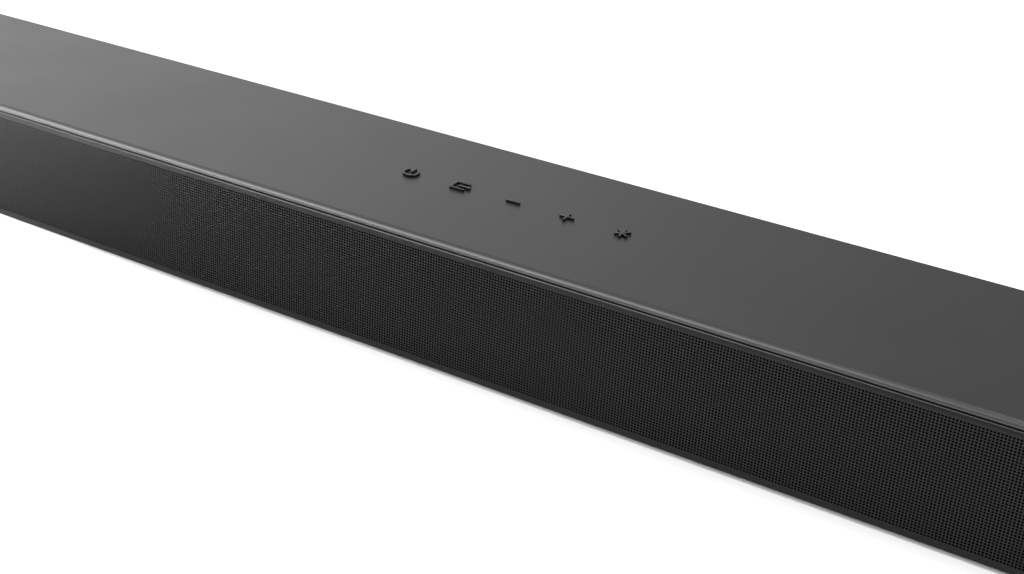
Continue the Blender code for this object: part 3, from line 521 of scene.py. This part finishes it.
def power(grow):
    """An open ring, as an outer and an inner arc, and a bar through its gap."""
    spare = math.degrees(grow / 3.45)
    turn = np.radians(np.linspace(128 - spare, 412 + spare, 41))
    circle = np.stack([np.cos(turn), np.sin(turn)], -1)
    ring = np.concatenate([circle * (3.45 + STROKE / 2 + grow), circle[::-1] * (3.45 - STROKE / 2 - grow)])
    half = STROKE / 2 + grow
    bar = np.array([(-half, 0.4 - grow), (half, 0.4 - grow), (half, 4.1 + grow), (-half, 4.1 + grow)])
    return [ring, bar]


def source(grow):
    """A frame open to the right, and an arrow that comes out of it."""
    left, right, low, high = -4.3 - grow, 2.9 + grow, -3.1 - grow, 3.9 + grow
    wall = STROKE + 2 * grow
    inner_left, inner_low, inner_high = left + wall, low + wall, high - wall
    inside = [(right, inner_low), (inner_left, inner_low), (inner_left, inner_high), (right, inner_high)]
    frame_line = [*inside, (right, high), (left, high), (left, low), (right, low)]
    # A slanted side moves by the square root of two times the growth.
    half, middle, tail, base = STROKE / 2 + grow, 0.4, -1.4 - grow, 3.1 - grow
    reach, tip = 1.5 + grow * (1 + math.sqrt(2)), 4.6 + grow * math.sqrt(2)
    head = [(base, middle - reach), (tip, middle), (base, middle + reach)]
    low_side, high_side = middle - half, middle + half
    arrow = [(tail, low_side), (base, low_side), *head, (base, high_side), (tail, high_side)]
    return [np.array(frame_line), np.array(arrow)]


ICONS = {
    "power": power,
    "source": source,
    "volume_down": lambda grow: [arms([0, 180], 3.3, grow)],
    "volume_up": lambda grow: [arms([0, 90, 180, 270], 3.3, grow)],
    "pairing": lambda grow: [arms([40, 90, 140, 220, 270, 320], 3.6, grow)],
}
KEY_AT = {name: np.array([(i - 2) * 25.75, 0.5]) for i, name in enumerate(ICONS)}
print("icon points", {name: sum(len(o) for o in icon(0.0)) for name, icon in ICONS.items()})


def walls(outlines, heights, start):
    """Outlines of one length stacked at heights in mm: the points, and the quads between them."""
    count = len(outlines[0])
    points = np.concatenate([np.column_stack([o, np.full(count, z)]) for o, z in zip(outlines, heights)]) * MM
    numbers = np.arange(len(outlines) * count).reshape(len(outlines), count) + start
    after = np.roll(numbers, -1, 1)
    return points, np.stack([numbers[:-1], after[:-1], after[1:], numbers[1:]], -1).reshape(-1, 4)


# %% [markdown]
# ## The cover
#
# The real cover is one moulding: a flat, a 2.4 mm fillet all round, a short skirt over the shadow
# gap, and a lip that drops inside the case. The section is carried round the closed outline with
# the fillet in twelve steps. A narrow flat band lies inside the fillet, so that the large flat's
# shading stays flat. The flat itself is filled by a Delaunay triangulation with the icon openings
# left out.

# %% The moulded cover
TOP, FILLET, SKIRT_ROUND, SKIRT_LOW, UNDER = 63.0, 2.4, 0.15, 60.35, 60.8
LIP_OUT, LIP_IN, LIP_LOW = 4.5, 6.0, 56.6  # the lip that drops inside the case
EDGE = 0.06  # round of each opening's rim, in mm
SHADE_PAINTED_BELOW = 60.47  # lower than this the moulding's faces are inside the gap


def filled(outer, holes, height, faces_up=True):
    """Triangles between an outer loop and hole loops at one height, by constrained Delaunay."""
    loops = [outer, *holes]
    sizes = np.cumsum([0] + [len(loop) for loop in loops])
    spans = list(zip(sizes[:-1], sizes[1:]))
    constraints = [(a + i, a + (i + 1) % (b - a)) for a, b in spans for i in range(b - a)]
    points = np.concatenate(loops) / MM
    made = delaunay_2d_cdt([Vector(p) for p in points.tolist()], constraints, [], 2, 1e-6)
    flat = np.array([tuple(p) for p in made[0]]) * MM
    faces = [list(f) if faces_up else list(f)[::-1] for f in made[2]]
    return np.column_stack([flat, np.full(len(flat), height * MM)]), faces


plan, plan_out = round_plan(17)
skirt_mid = (SKIRT_ROUND, SKIRT_LOW + SKIRT_ROUND)
outside = [*arc((FILLET, TOP - FILLET), FILLET, 90, 0, 13), *arc(skirt_mid, SKIRT_ROUND, 0, -90, 4)]
lip = [(LIP_OUT, SKIRT_LOW), (LIP_OUT, LIP_LOW), (LIP_IN, LIP_LOW), (LIP_IN, UNDER)]
section = [(FILLET + 0.5, TOP), *outside, *lip]
grid = swept(plan, plan_out, section)
parts, faces = [grid.reshape(-1, 3)], quads(*grid.shape[:2], closed=True).tolist()
total = len(parts[0])
rim_loops, under_loops = [], []
for name, icon in ICONS.items():
    rings = [icon(CLEARANCE + EDGE), icon(CLEARANCE + EDGE * 0.3), icon(CLEARANCE), icon(CLEARANCE)]
    for stack in zip(*rings):
        stack = [o + KEY_AT[name] for o in stack]
        points, wall = walls(stack, [TOP, TOP - EDGE * 0.3, TOP - EDGE, UNDER], total)
        parts.append(points)
        faces += wall.tolist()
        total += len(points)
        rim_loops.append(stack[0] * MM)
        under_loops.append(stack[-1] * MM)
upper_fill, under_fill = (rim_loops, grid[:, 0, :2], TOP, True), (under_loops, grid[:, -1, :2], UNDER, False)
for loops, border_line, height, up in (upper_fill, under_fill):
    points, fill = filled(border_line, loops, height, up)
    parts.append(points)
    faces += [[v + total for v in face] for face in fill]
    total += len(points)
points = np.concatenate(parts)
cover = piece("cover_moulding", points, faces, ABS_COVER, slot="cover", replaces=("top_cover",))
# Under the skirt and on the lip the faces are painted near-black: painted shade that makes the shadow gap
# black inside.
cover.data.materials.append(ABS_SHADE_PAINTED)
centres = np.empty(3 * len(cover.data.polygons), np.float32)
cover.data.polygons.foreach_get("center", centres)
cover.data.polygons.foreach_set("material_index", (centres[2::3] < SHADE_PAINTED_BELOW * MM).astype(np.int32))
print("cover triangles", sum(len(f.vertices) - 2 for f in cover.data.polygons))

# %% [markdown]
# ## Five keys
#
# A key is moulded in one piece: the icon on top, a square flange that hides the light under the
# cover and stops the key from coming out, and a stem that meets the switch. Only 1.1 mm of the
# icon stands above the cover. Its edge is eased by 0.12 mm, as a mould's cutter leaves it.
# Its top has the cover's grain, and its walls are painted near-black as shade.

# %% Keys
FLANGE, FLANGE_CUT, FLANGE_LOW, FLANGE_TOP = 5.25, 3.75, 59.5, 60.5
ICON_TOP, ICON_LOW, STEM_LOW, STEM_R, EASE = 64.1, 60.0, 57.5, 1.5, 0.12


def key_look(tree, shader):
    # The key's top is the cover's ABS with the same fine grain, so it is as grey as the cover.
    place = fine_grain(tree, shader, grain_mm=0.2, depth_mm=0.01, strength=0.2, rough=0.38, spread=0.02)
    tinted(tree, shader, place, "#19191a", "#1d1d1e", 4)


ABS_KEYS = finish("moulded_abs_satin_keys", key_look, Specular_IOR_Level=0.8)


def stacked(outlines, heights, start):
    """A closed solid from stacked outlines, with a flat face on its lowest and its highest."""
    points, faces = walls(outlines, heights, start)
    count = len(outlines[0])
    lowest, highest = np.arange(start, start + count), np.arange(count) + start + len(points) - count
    return points, faces.tolist() + [lowest[::-1].tolist(), highest.tolist()]


corner = np.array([(FLANGE, FLANGE_CUT), (FLANGE_CUT, FLANGE)])
square = np.concatenate([corner, corner[::-1] * (-1, 1), -corner, corner[::-1] * (1, -1)])
turn = np.radians(np.arange(0, 360, 15))
stem = STEM_R * np.stack([np.cos(turn), np.sin(turn)], -1)
ease_at = np.radians([0, 30, 60, 90])
for name, icon in ICONS.items():
    parts, faces, total = [], [], 0
    solids = [([square, square], [FLANGE_LOW, FLANGE_TOP]), ([stem, stem], [STEM_LOW, ICON_LOW])]
    for stack in zip(icon(0.0), *[icon(-EASE * (1 - math.cos(a))) for a in ease_at]):
        tops = [ICON_TOP - EASE * (1 - math.sin(a)) for a in ease_at]
        solids.append((list(stack), [ICON_LOW, *tops]))
    for outlines, levels in solids:
        points, more = stacked([o + KEY_AT[name] for o in outlines], levels, total)
        parts.append(points)
        faces += more
        total += len(points)
    of_key = {"body": f"{name}_key", "slot": "keys", "replaces": (f"{name}_button",)}
    key = piece(f"{name}_key_moulding", np.concatenate(parts), faces, ABS_KEYS, **of_key)
    key.data.materials.append(ABS_SHADE_PAINTED)  # its walls take the near-black painted shade
    facing = np.empty(3 * len(key.data.polygons), np.float32)
    key.data.polygons.foreach_get("normal", facing)
    key.data.polygons.foreach_set("material_index", (facing[2::3] < 0.6).astype(np.int32))
print("keys", list(ICONS))

# %% [markdown]
# ## The case and the small parts from the CAD
#
# The case, the socket recess, the sockets, feet and screws already have the right shape in the CAD
# model. What they lack is softness: no real edge is perfectly sharp. A copy of each is merged, its
# coplanar triangles are joined back into faces, and a Bevel eases every edge by the amount its
# process leaves.

# %% Eased copies


def eased(node, name, look, width_mm, segments=2, angle=35, body="housing"):
    """A merged copy of a CAD node with its edges over angle degrees rounded by width_mm."""
    bm = bmesh.new()
    bm.from_mesh(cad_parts[node].data)
    bmesh.ops.remove_doubles(bm, verts=bm.verts, dist=2e-6)
    bmesh.ops.dissolve_limit(bm, angle_limit=math.radians(0.5), verts=bm.verts, edges=bm.edges)
    mesh = bpy.data.meshes.new(name)
    bm.to_mesh(mesh)
    bm.free()
    mesh.shade_smooth()
    mesh.set_sharp_from_angle(angle=math.radians(angle))
    mesh.materials.append(look)
    made = bpy.data.objects.new(name, mesh)
    bpy.context.scene.collection.objects.link(made)
    if width_mm:
        bevel = made.modifiers.new("eased edges", "BEVEL")
        bevel.width, bevel.segments = width_mm * MM, segments
        bevel.limit_method, bevel.angle_limit = "ANGLE", math.radians(angle)
    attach(made, body)
    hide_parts(node)
    return made


print("easing ready")

# %% [markdown]
# The metal of this bar is thin and plain: zinc on the screws, and nickel on the socket shells,
# which are folded from drawn sheet. The mains inlet and the optical socket are moulded nylon.

# %% Plated metal and resin


def steel_look(tree, shader):
    # Zinc-plated steel: bright but grey, with the crystal patches of the plating, 0.6 mm across.
    place = add(tree, "TexCoord").outputs["Object"]
    cells = add(tree, "TexVoronoi", Vector=place, Scale=1 / (0.6 * MM))
    tint = add(tree, "ValToRGB", stops=((0.1, "#9a9ba0"), (0.9, "#c3c4c8")), Fac=cells.outputs["Distance"])
    rough = add(tree, "MapRange", Value=cells.outputs["Distance"], i3=0.26, i4=0.42)
    feed(tree, shader, Base_Color=tint.outputs["Color"], Roughness=rough.outputs["Result"])


def plated_look(tree, shader):
    # Nickel-plated socket shells: drawn sheet, so faint lines 0.1 mm apart run front to back.
    place = add(tree, "TexCoord").outputs["Object"]
    stretched = add(tree, "Mapping", Vector=place, Scale=(10000.0, 150.0, 10000.0))
    lines = add(tree, "TexNoise", Vector=stretched.outputs["Vector"], Scale=1.0, Detail=2.0)
    tint = add(tree, "ValToRGB", stops=((0.3, "#b4b4b2"), (0.7, "#d2d2cf")), Fac=lines.outputs["Fac"])
    bump = add(tree, "Bump", Height=lines.outputs["Fac"], Strength=0.2, Distance=0.01 * MM)
    feed(tree, shader, Base_Color=tint.outputs["Color"], Normal=bump.outputs["Normal"])


def resin_look(tree, shader):
    # Moulded nylon and epoxy: black, a little glossier than the case, with 0.3 mm mould texture.
    place = fine_grain(tree, shader, grain_mm=0.3, depth_mm=0.02, strength=0.3, rough=0.42, spread=0.04)
    tinted(tree, shader, place, "#141415", "#1a1a1b", 5)


ZINC = finish("zinc_plated_steel", steel_look, Metallic=1.0)
NICKEL = finish("nickel_plated_sheet", plated_look, Metallic=1.0, Roughness=0.3)
RESIN = finish("moulded_nylon_resin", resin_look)
print("metals and resin", ZINC.name, NICKEL.name, RESIN.name)

# %% Case, sockets, feet and screws
case = eased("bottom_case", "case_moulding", ABS_CASE, 0.3)
eased("jack_panel", "socket_recess", ABS_RECESS, 0.3)
eased("power_inlet", "mains_inlet_body", RESIN, 0.2)
eased("optical_socket", "optical_socket_body", RESIN, 0.2)
eased("video_socket", "video_socket_shell", NICKEL, 0.12)
eased("data_socket", "data_socket_shell", NICKEL, 0.12)
for end in ("front", "rear"):
    for side in ("left", "right"):
        eased(f"foot_{end}_{side}", f"rubber_foot_{end}_{side}", RUBBER, 0.4, segments=3)
        eased(f"case_screw_{end}_{side}", f"cross_head_screw_{end}_{side}", ZINC, 0.15)
print("case faces", len(case.data.polygons))

# %% [markdown]
# ## Contacts in the sockets
#
# What makes a socket look real is the metal in its mouth: gilded strips on the tongues of the
# video and data sockets, two round nickel pins in the mains inlet, and the end of the light guide
# in the optical socket. Strips are boxes made all at once, and the pins are turned shapes.

# %% Gold and acrylic


def gilded_look(tree, shader):
    # Gold over nickel: warm and smooth, a little rubbed where plugs have slid, in 0.5 mm patches.
    place = add(tree, "TexCoord").outputs["Object"]
    rub = add(tree, "TexNoise", Vector=place, Scale=1 / (0.5 * MM), Detail=2.0)
    tint = add(tree, "ValToRGB", stops=((0.35, "#c9a24e"), (0.7, "#e2c274")), Fac=rub.outputs["Fac"])
    feed(tree, shader, Base_Color=tint.outputs["Color"])


def glow_painted_look(tree, shader):
    # Polished acrylic: its dark red, lighter and darker in 1 mm clouds, is a painted glow of a dim red lamp
    # behind it.
    place = add(tree, "TexCoord").outputs["Object"]
    cloud = add(tree, "TexNoise", Vector=place, Scale=1 / (1.0 * MM))
    tint = add(tree, "ValToRGB", stops=((0.3, "#3a0806"), (0.7, "#5c100c")), Fac=cloud.outputs["Fac"])
    feed(tree, shader, Base_Color=tint.outputs["Color"])


GOLD = finish("gold_plated_contact", gilded_look, Metallic=1.0, Roughness=0.25)
ACRYLIC = finish("polished_acrylic_guide", glow_painted_look, Roughness=0.12)
print("contact finishes", GOLD.name, ACRYLIC.name)

# %% Contacts, pins and light guide


def boxes(centres, size):
    """Boxes of one size: every centre plus the eight corner signs times half the size, in mm."""
    signs = np.stack(np.meshgrid([-1, 1], [-1, 1], [-1, 1], indexing="ij"), -1).reshape(-1, 3)
    points = (np.asarray(centres, float)[:, None] + signs * np.array(size) / 2) * MM
    one = np.array([[0, 1, 3, 2], [4, 6, 7, 5], [0, 4, 5, 1], [2, 3, 7, 6], [0, 2, 6, 4], [1, 5, 7, 3]])
    return points.reshape(-1, 3), (one + 8 * np.arange(len(centres))[:, None, None]).reshape(-1, 4)


def turned(centre, line, turns=24):
    """A shape turned about an axis along Y: each (distance, radius) of the line, in mm, goes round
    the centre in even steps. The line starts and ends on the axis."""
    turn = np.linspace(0, 2 * np.pi, turns, endpoint=False)
    along, radius = np.array(line, float).T
    x = centre[0] + radius[None] * np.cos(turn)[:, None]
    z = centre[1] + radius[None] * np.sin(turn)[:, None]
    points = np.stack([x, np.broadcast_to(along, x.shape), z], -1) * MM
    return points.reshape(-1, 3), quads(turns, len(line), closed=True)


def joined(solids):
    """Several (points, faces) pairs as one."""
    starts = np.cumsum([0] + [len(points) for points, _ in solids])
    faces = [f + start for (_, f), start in zip(solids, starts)]
    return np.concatenate([p for p, _ in solids]), np.concatenate(faces)


top_row = [(198 + k, 25.6, 14.92) for k in np.linspace(-4.5, 4.5, 10)]
low_row = [(198 + k, 25.6, 13.88) for k in np.linspace(-4.0, 4.0, 9)]
piece("video_socket_contacts", *boxes(top_row + low_row, (0.45, 6.0, 0.08)), GOLD, slot="plated_steel")
data_row = [(230 + k, 25.8, 13.67) for k in (-3.5, -1.0, 1.0, 3.5)]
piece("data_socket_contacts", *boxes(data_row, (1.0, 5.4, 0.1)), GOLD, slot="plated_steel")
dome = [(28.06 - 0.9 * (1 - math.sin(a)), 1.23 * math.cos(a)) for a in np.radians(np.linspace(0, 90, 6))]
dome[-1] = (28.06, 0.0)
pins = [turned((92 + k, 18.2), [(20.95, 0.0), (20.95, 1.23), *dome]) for k in (-4.3, 4.3)]
piece("mains_inlet_pins", *joined(pins), NICKEL, slot="plated_steel")
guide = [(22.4, 0.0), (22.4, 1.0), (24.2, 1.0), (24.5, 0.8), (24.6, 0.0)]
piece("optical_light_guide", *turned((168, 16.1), guide), ACRYLIC, slot="resin")
print("contacts", len(top_row) + len(low_row) + len(data_row), "pins 2")

# %% [markdown]
# ## Inside the case
#
# The drivers, boards and leads are closed in, and keep their CAD shapes. They still get the
# finishes of the real ones, so that the model can be opened and looked into.

# %% Finishes of the inner parts


def paper_look(tree, shader):
    # Pressed paper pulp: matt, with fibres that show as 0.8 mm streaks of lighter grey.
    place = add(tree, "TexCoord").outputs["Object"]
    fibre = add(tree, "TexNoise", Vector=place, Scale=1 / (0.8 * MM), Detail=5.0, Distortion=1.5)
    tint = add(tree, "ValToRGB", stops=((0.35, "#131313"), (0.7, "#262524")), Fac=fibre.outputs["Fac"])
    bump = add(tree, "Bump", Height=fibre.outputs["Fac"], Strength=0.5, Distance=0.05 * MM)
    feed(tree, shader, Base_Color=tint.outputs["Color"], Normal=bump.outputs["Normal"])


def board_look(tree, shader):
    # Green solder mask over copper: the copper shows as slightly lighter tracks 1.5 mm apart.
    place = add(tree, "TexCoord").outputs["Object"]
    cells = add(tree, "TexVoronoi", {"feature": "DISTANCE_TO_EDGE"}, Vector=place, Scale=1 / (4 * MM))
    tint = add(tree, "ValToRGB", stops=((0.06, "#2f6b45"), (0.1, "#17452b")), Fac=cells.outputs["Distance"])
    feed(tree, shader, Base_Color=tint.outputs["Color"])


def ferrite_look(tree, shader):
    # Sintered ferrite: charcoal grey and granular, with 0.5 mm grains.
    place = fine_grain(tree, shader, grain_mm=0.5, depth_mm=0.05, strength=0.5, rough=0.7, spread=0.08)
    tinted(tree, shader, place, "#2c2c2e", "#3a3a3d", 2)


def wire_look(tree, shader):
    # Extruded PVC sheath: even black with a soft shine and slight ripples 3 mm long.
    place = fine_grain(tree, shader, grain_mm=3.0, depth_mm=0.08, strength=0.3, rough=0.45, spread=0.04)
    tinted(tree, shader, place, "#161617", "#1e1e1f", 8)


PAPER = finish("pressed_paper_cone", paper_look, Roughness=0.9)
BOARD = finish("solder_masked_board", board_look, Roughness=0.4)
FERRITE = finish("sintered_ferrite", ferrite_look)
WIRE = finish("extruded_pvc_sheath", wire_look)
FINISH_OF = {
    "basket": PAINT, "magnet": FERRITE, "cone": PAPER, "dust_cap": PAPER, "surround": RUBBER,
    "board": BOARD, "baffle": ABS_RECESS, "switch": RESIN, "plunger": RUBBER, "module": NICKEL,
    "transformer": FERRITE, "capacitor": RESIN, "left": WIRE, "centre": WIRE, "right": WIRE,
    "cable": WIRE, "lead": WIRE,
}
shown = [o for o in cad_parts.values() if not o.hide_render]
for node in shown:
    look = next(made for word, made in FINISH_OF.items() if node.name.endswith(word))
    node.data.materials.clear()
    node.data.materials.append(look)
print("inner parts with a finish", len(shown))

# %% [markdown]
# ## Floor, light and camera
#
# The bar stands on a white studio table that runs up into white. The main light is a broad softbox
# overhead to the right, where neither the cover's top nor its fillet mirrors it. A small one with
# a grid lights only the table in front of the bar's left end: the painted steel mirrors that
# bright patch, and the cover doesn't. Three more on the left draw the light line along the cover's
# fillet, so the bar falls from light to dark along its length.

# %% Floor
TABLE = 5.0  # half its side, in metres
corners = [(-TABLE, -TABLE, 0), (TABLE, -TABLE, 0), (TABLE, TABLE, 0), (-TABLE, TABLE, 0)]
floor_mesh = bpy.data.meshes.new("studio_table")
floor_mesh.from_pydata(corners, [], [(0, 1, 2, 3)])


def table_look(tree, shader):
    # White laminate: even and matt, so that it takes soft shadows and shows no reflection.
    place = add(tree, "TexCoord").outputs["Object"]
    tinted(tree, shader, place, "#e3e3e3", "#e5e5e5", 300)


floor_mesh.materials.append(finish("white_laminate_table", table_look, Roughness=0.9, Specular_IOR_Level=0.1))
floor = bpy.data.objects.new("studio_table", floor_mesh)
bpy.context.scene.collection.objects.link(floor)
print("table", 2 * TABLE, "m square")

# %% [markdown]
# Each softbox is a place, a point it faces, its width and depth in metres, its power in watts and,
# for the one with a grid, how wide its beam may spread in degrees.

# %% Softboxes


def softbox(name, at, aim, width, depth, power_w, grid=180):
    """A rectangular area light at a point, facing another, whose grid narrows it to some degrees."""
    data = bpy.data.lights.new(name, "AREA")
    data.shape, data.size, data.size_y, data.energy = "RECTANGLE", width, depth, power_w
    data.spread = math.radians(grid)
    lamp = bpy.data.objects.new(name, data)
    lamp.location = at
    lamp.rotation_euler = (Vector(aim) - Vector(at)).to_track_quat("-Z", "Y").to_euler()
    bpy.context.scene.collection.objects.link(lamp)
    return lamp


LIGHTS = {
    "overhead_right": ((0.8, 0.1, 1.2), (0.05, -0.1, 0.0), 1.0, 1.0, 31.0),
    "front_left": ((-0.4, -1.1, 0.9), (0.0, 0.0, 0.03), 0.8, 0.5, 6.4),
    "gridded_front": ((-0.2, -0.75, 0.5), (-0.6, -0.2, 0.0), 0.3, 0.3, 9.0, 50),
    "table_wash": ((-0.75, -0.45, 0.3), (-0.6, -0.35, 0.0), 0.5, 0.3, 3.5),
    "low_front": ((-0.5, -0.6, 0.35), (-0.4, -0.3, 0.0), 0.5, 0.3, 2.2),
}
for name, values in LIGHTS.items():
    softbox(name, *values)
print("lights", list(LIGHTS))

# %% [markdown]
# ## The white room round the table
#
# Beyond the softboxes the room itself glows. Two broad glows, one behind to the left and one in
# front to the left, are what the satin plastic mirrors, so the bar is lighter to the left. Each is
# half of one plus the cosine of the angle from its middle, raised to a power that sets how broad
# it is. The camera itself sees plain white.

# %% Room light
world = bpy.data.worlds.new("white_studio")
bpy.context.scene.world = world
world.use_nodes = True
tree = world.node_tree
backdrop = tree.nodes["Background"]
backdrop.inputs["Color"].default_value = (1, 1, 1, 1)
toward = add(tree, "TexCoord").outputs["Generated"]
total = 0.0
GLOWS, BREADTH, SEEN_WHITE = (((-0.8, 0.55, 0.25), 1.62), ((-0.65, -0.47, 0.6), 2.1)), 10.0, 1.05
for toward_glow, strength in GLOWS:
    middle = Vector(toward_glow).normalized()
    cosine = add(tree, "VectorMath", {"operation": "DOT_PRODUCT"}, i0=toward, i1=middle)
    half = add(tree, "Math", {"operation": "MULTIPLY_ADD"}, i0=cosine.outputs["Value"], i1=0.5, i2=0.5)
    glow = add(tree, "Math", {"operation": "POWER"}, i0=half.outputs["Value"], i1=BREADTH)
    both = add(tree, "Math", {"operation": "MULTIPLY_ADD"}, i0=glow.outputs["Value"], i1=strength, i2=total)
    total = both.outputs["Value"]
seen = add(tree, "LightPath").outputs["Is Camera Ray"]
level = add(tree, "Mix", {"data_type": "FLOAT"}, i0=seen, i2=total, i3=SEEN_WHITE)
tree.links.new(level.outputs[0], backdrop.inputs["Strength"])
bpy.context.scene.view_settings.view_transform = "Standard"
print("room light set")

# %% [markdown]
# The camera stands in front of the bar, to its right and above, and looks down on it. A shifted
# lens slides the picture sideways without turning the camera, so the bar keeps its slant.

# %% Camera
lens = bpy.data.cameras.new("studio_camera")
lens.lens, lens.sensor_width = 57.90, 36.0
lens.shift_x, lens.shift_y, lens.clip_start = 0.2207, -0.0645, 0.01
camera = bpy.data.objects.new("studio_camera", lens)
camera.location = (0.2906, -0.578, 0.378)
camera.rotation_euler = (math.radians(63.167), 0.0, math.radians(35.406))
bpy.context.scene.collection.objects.link(camera)
bpy.context.scene.camera = camera
print("camera", tuple(round(v, 3) for v in camera.location))
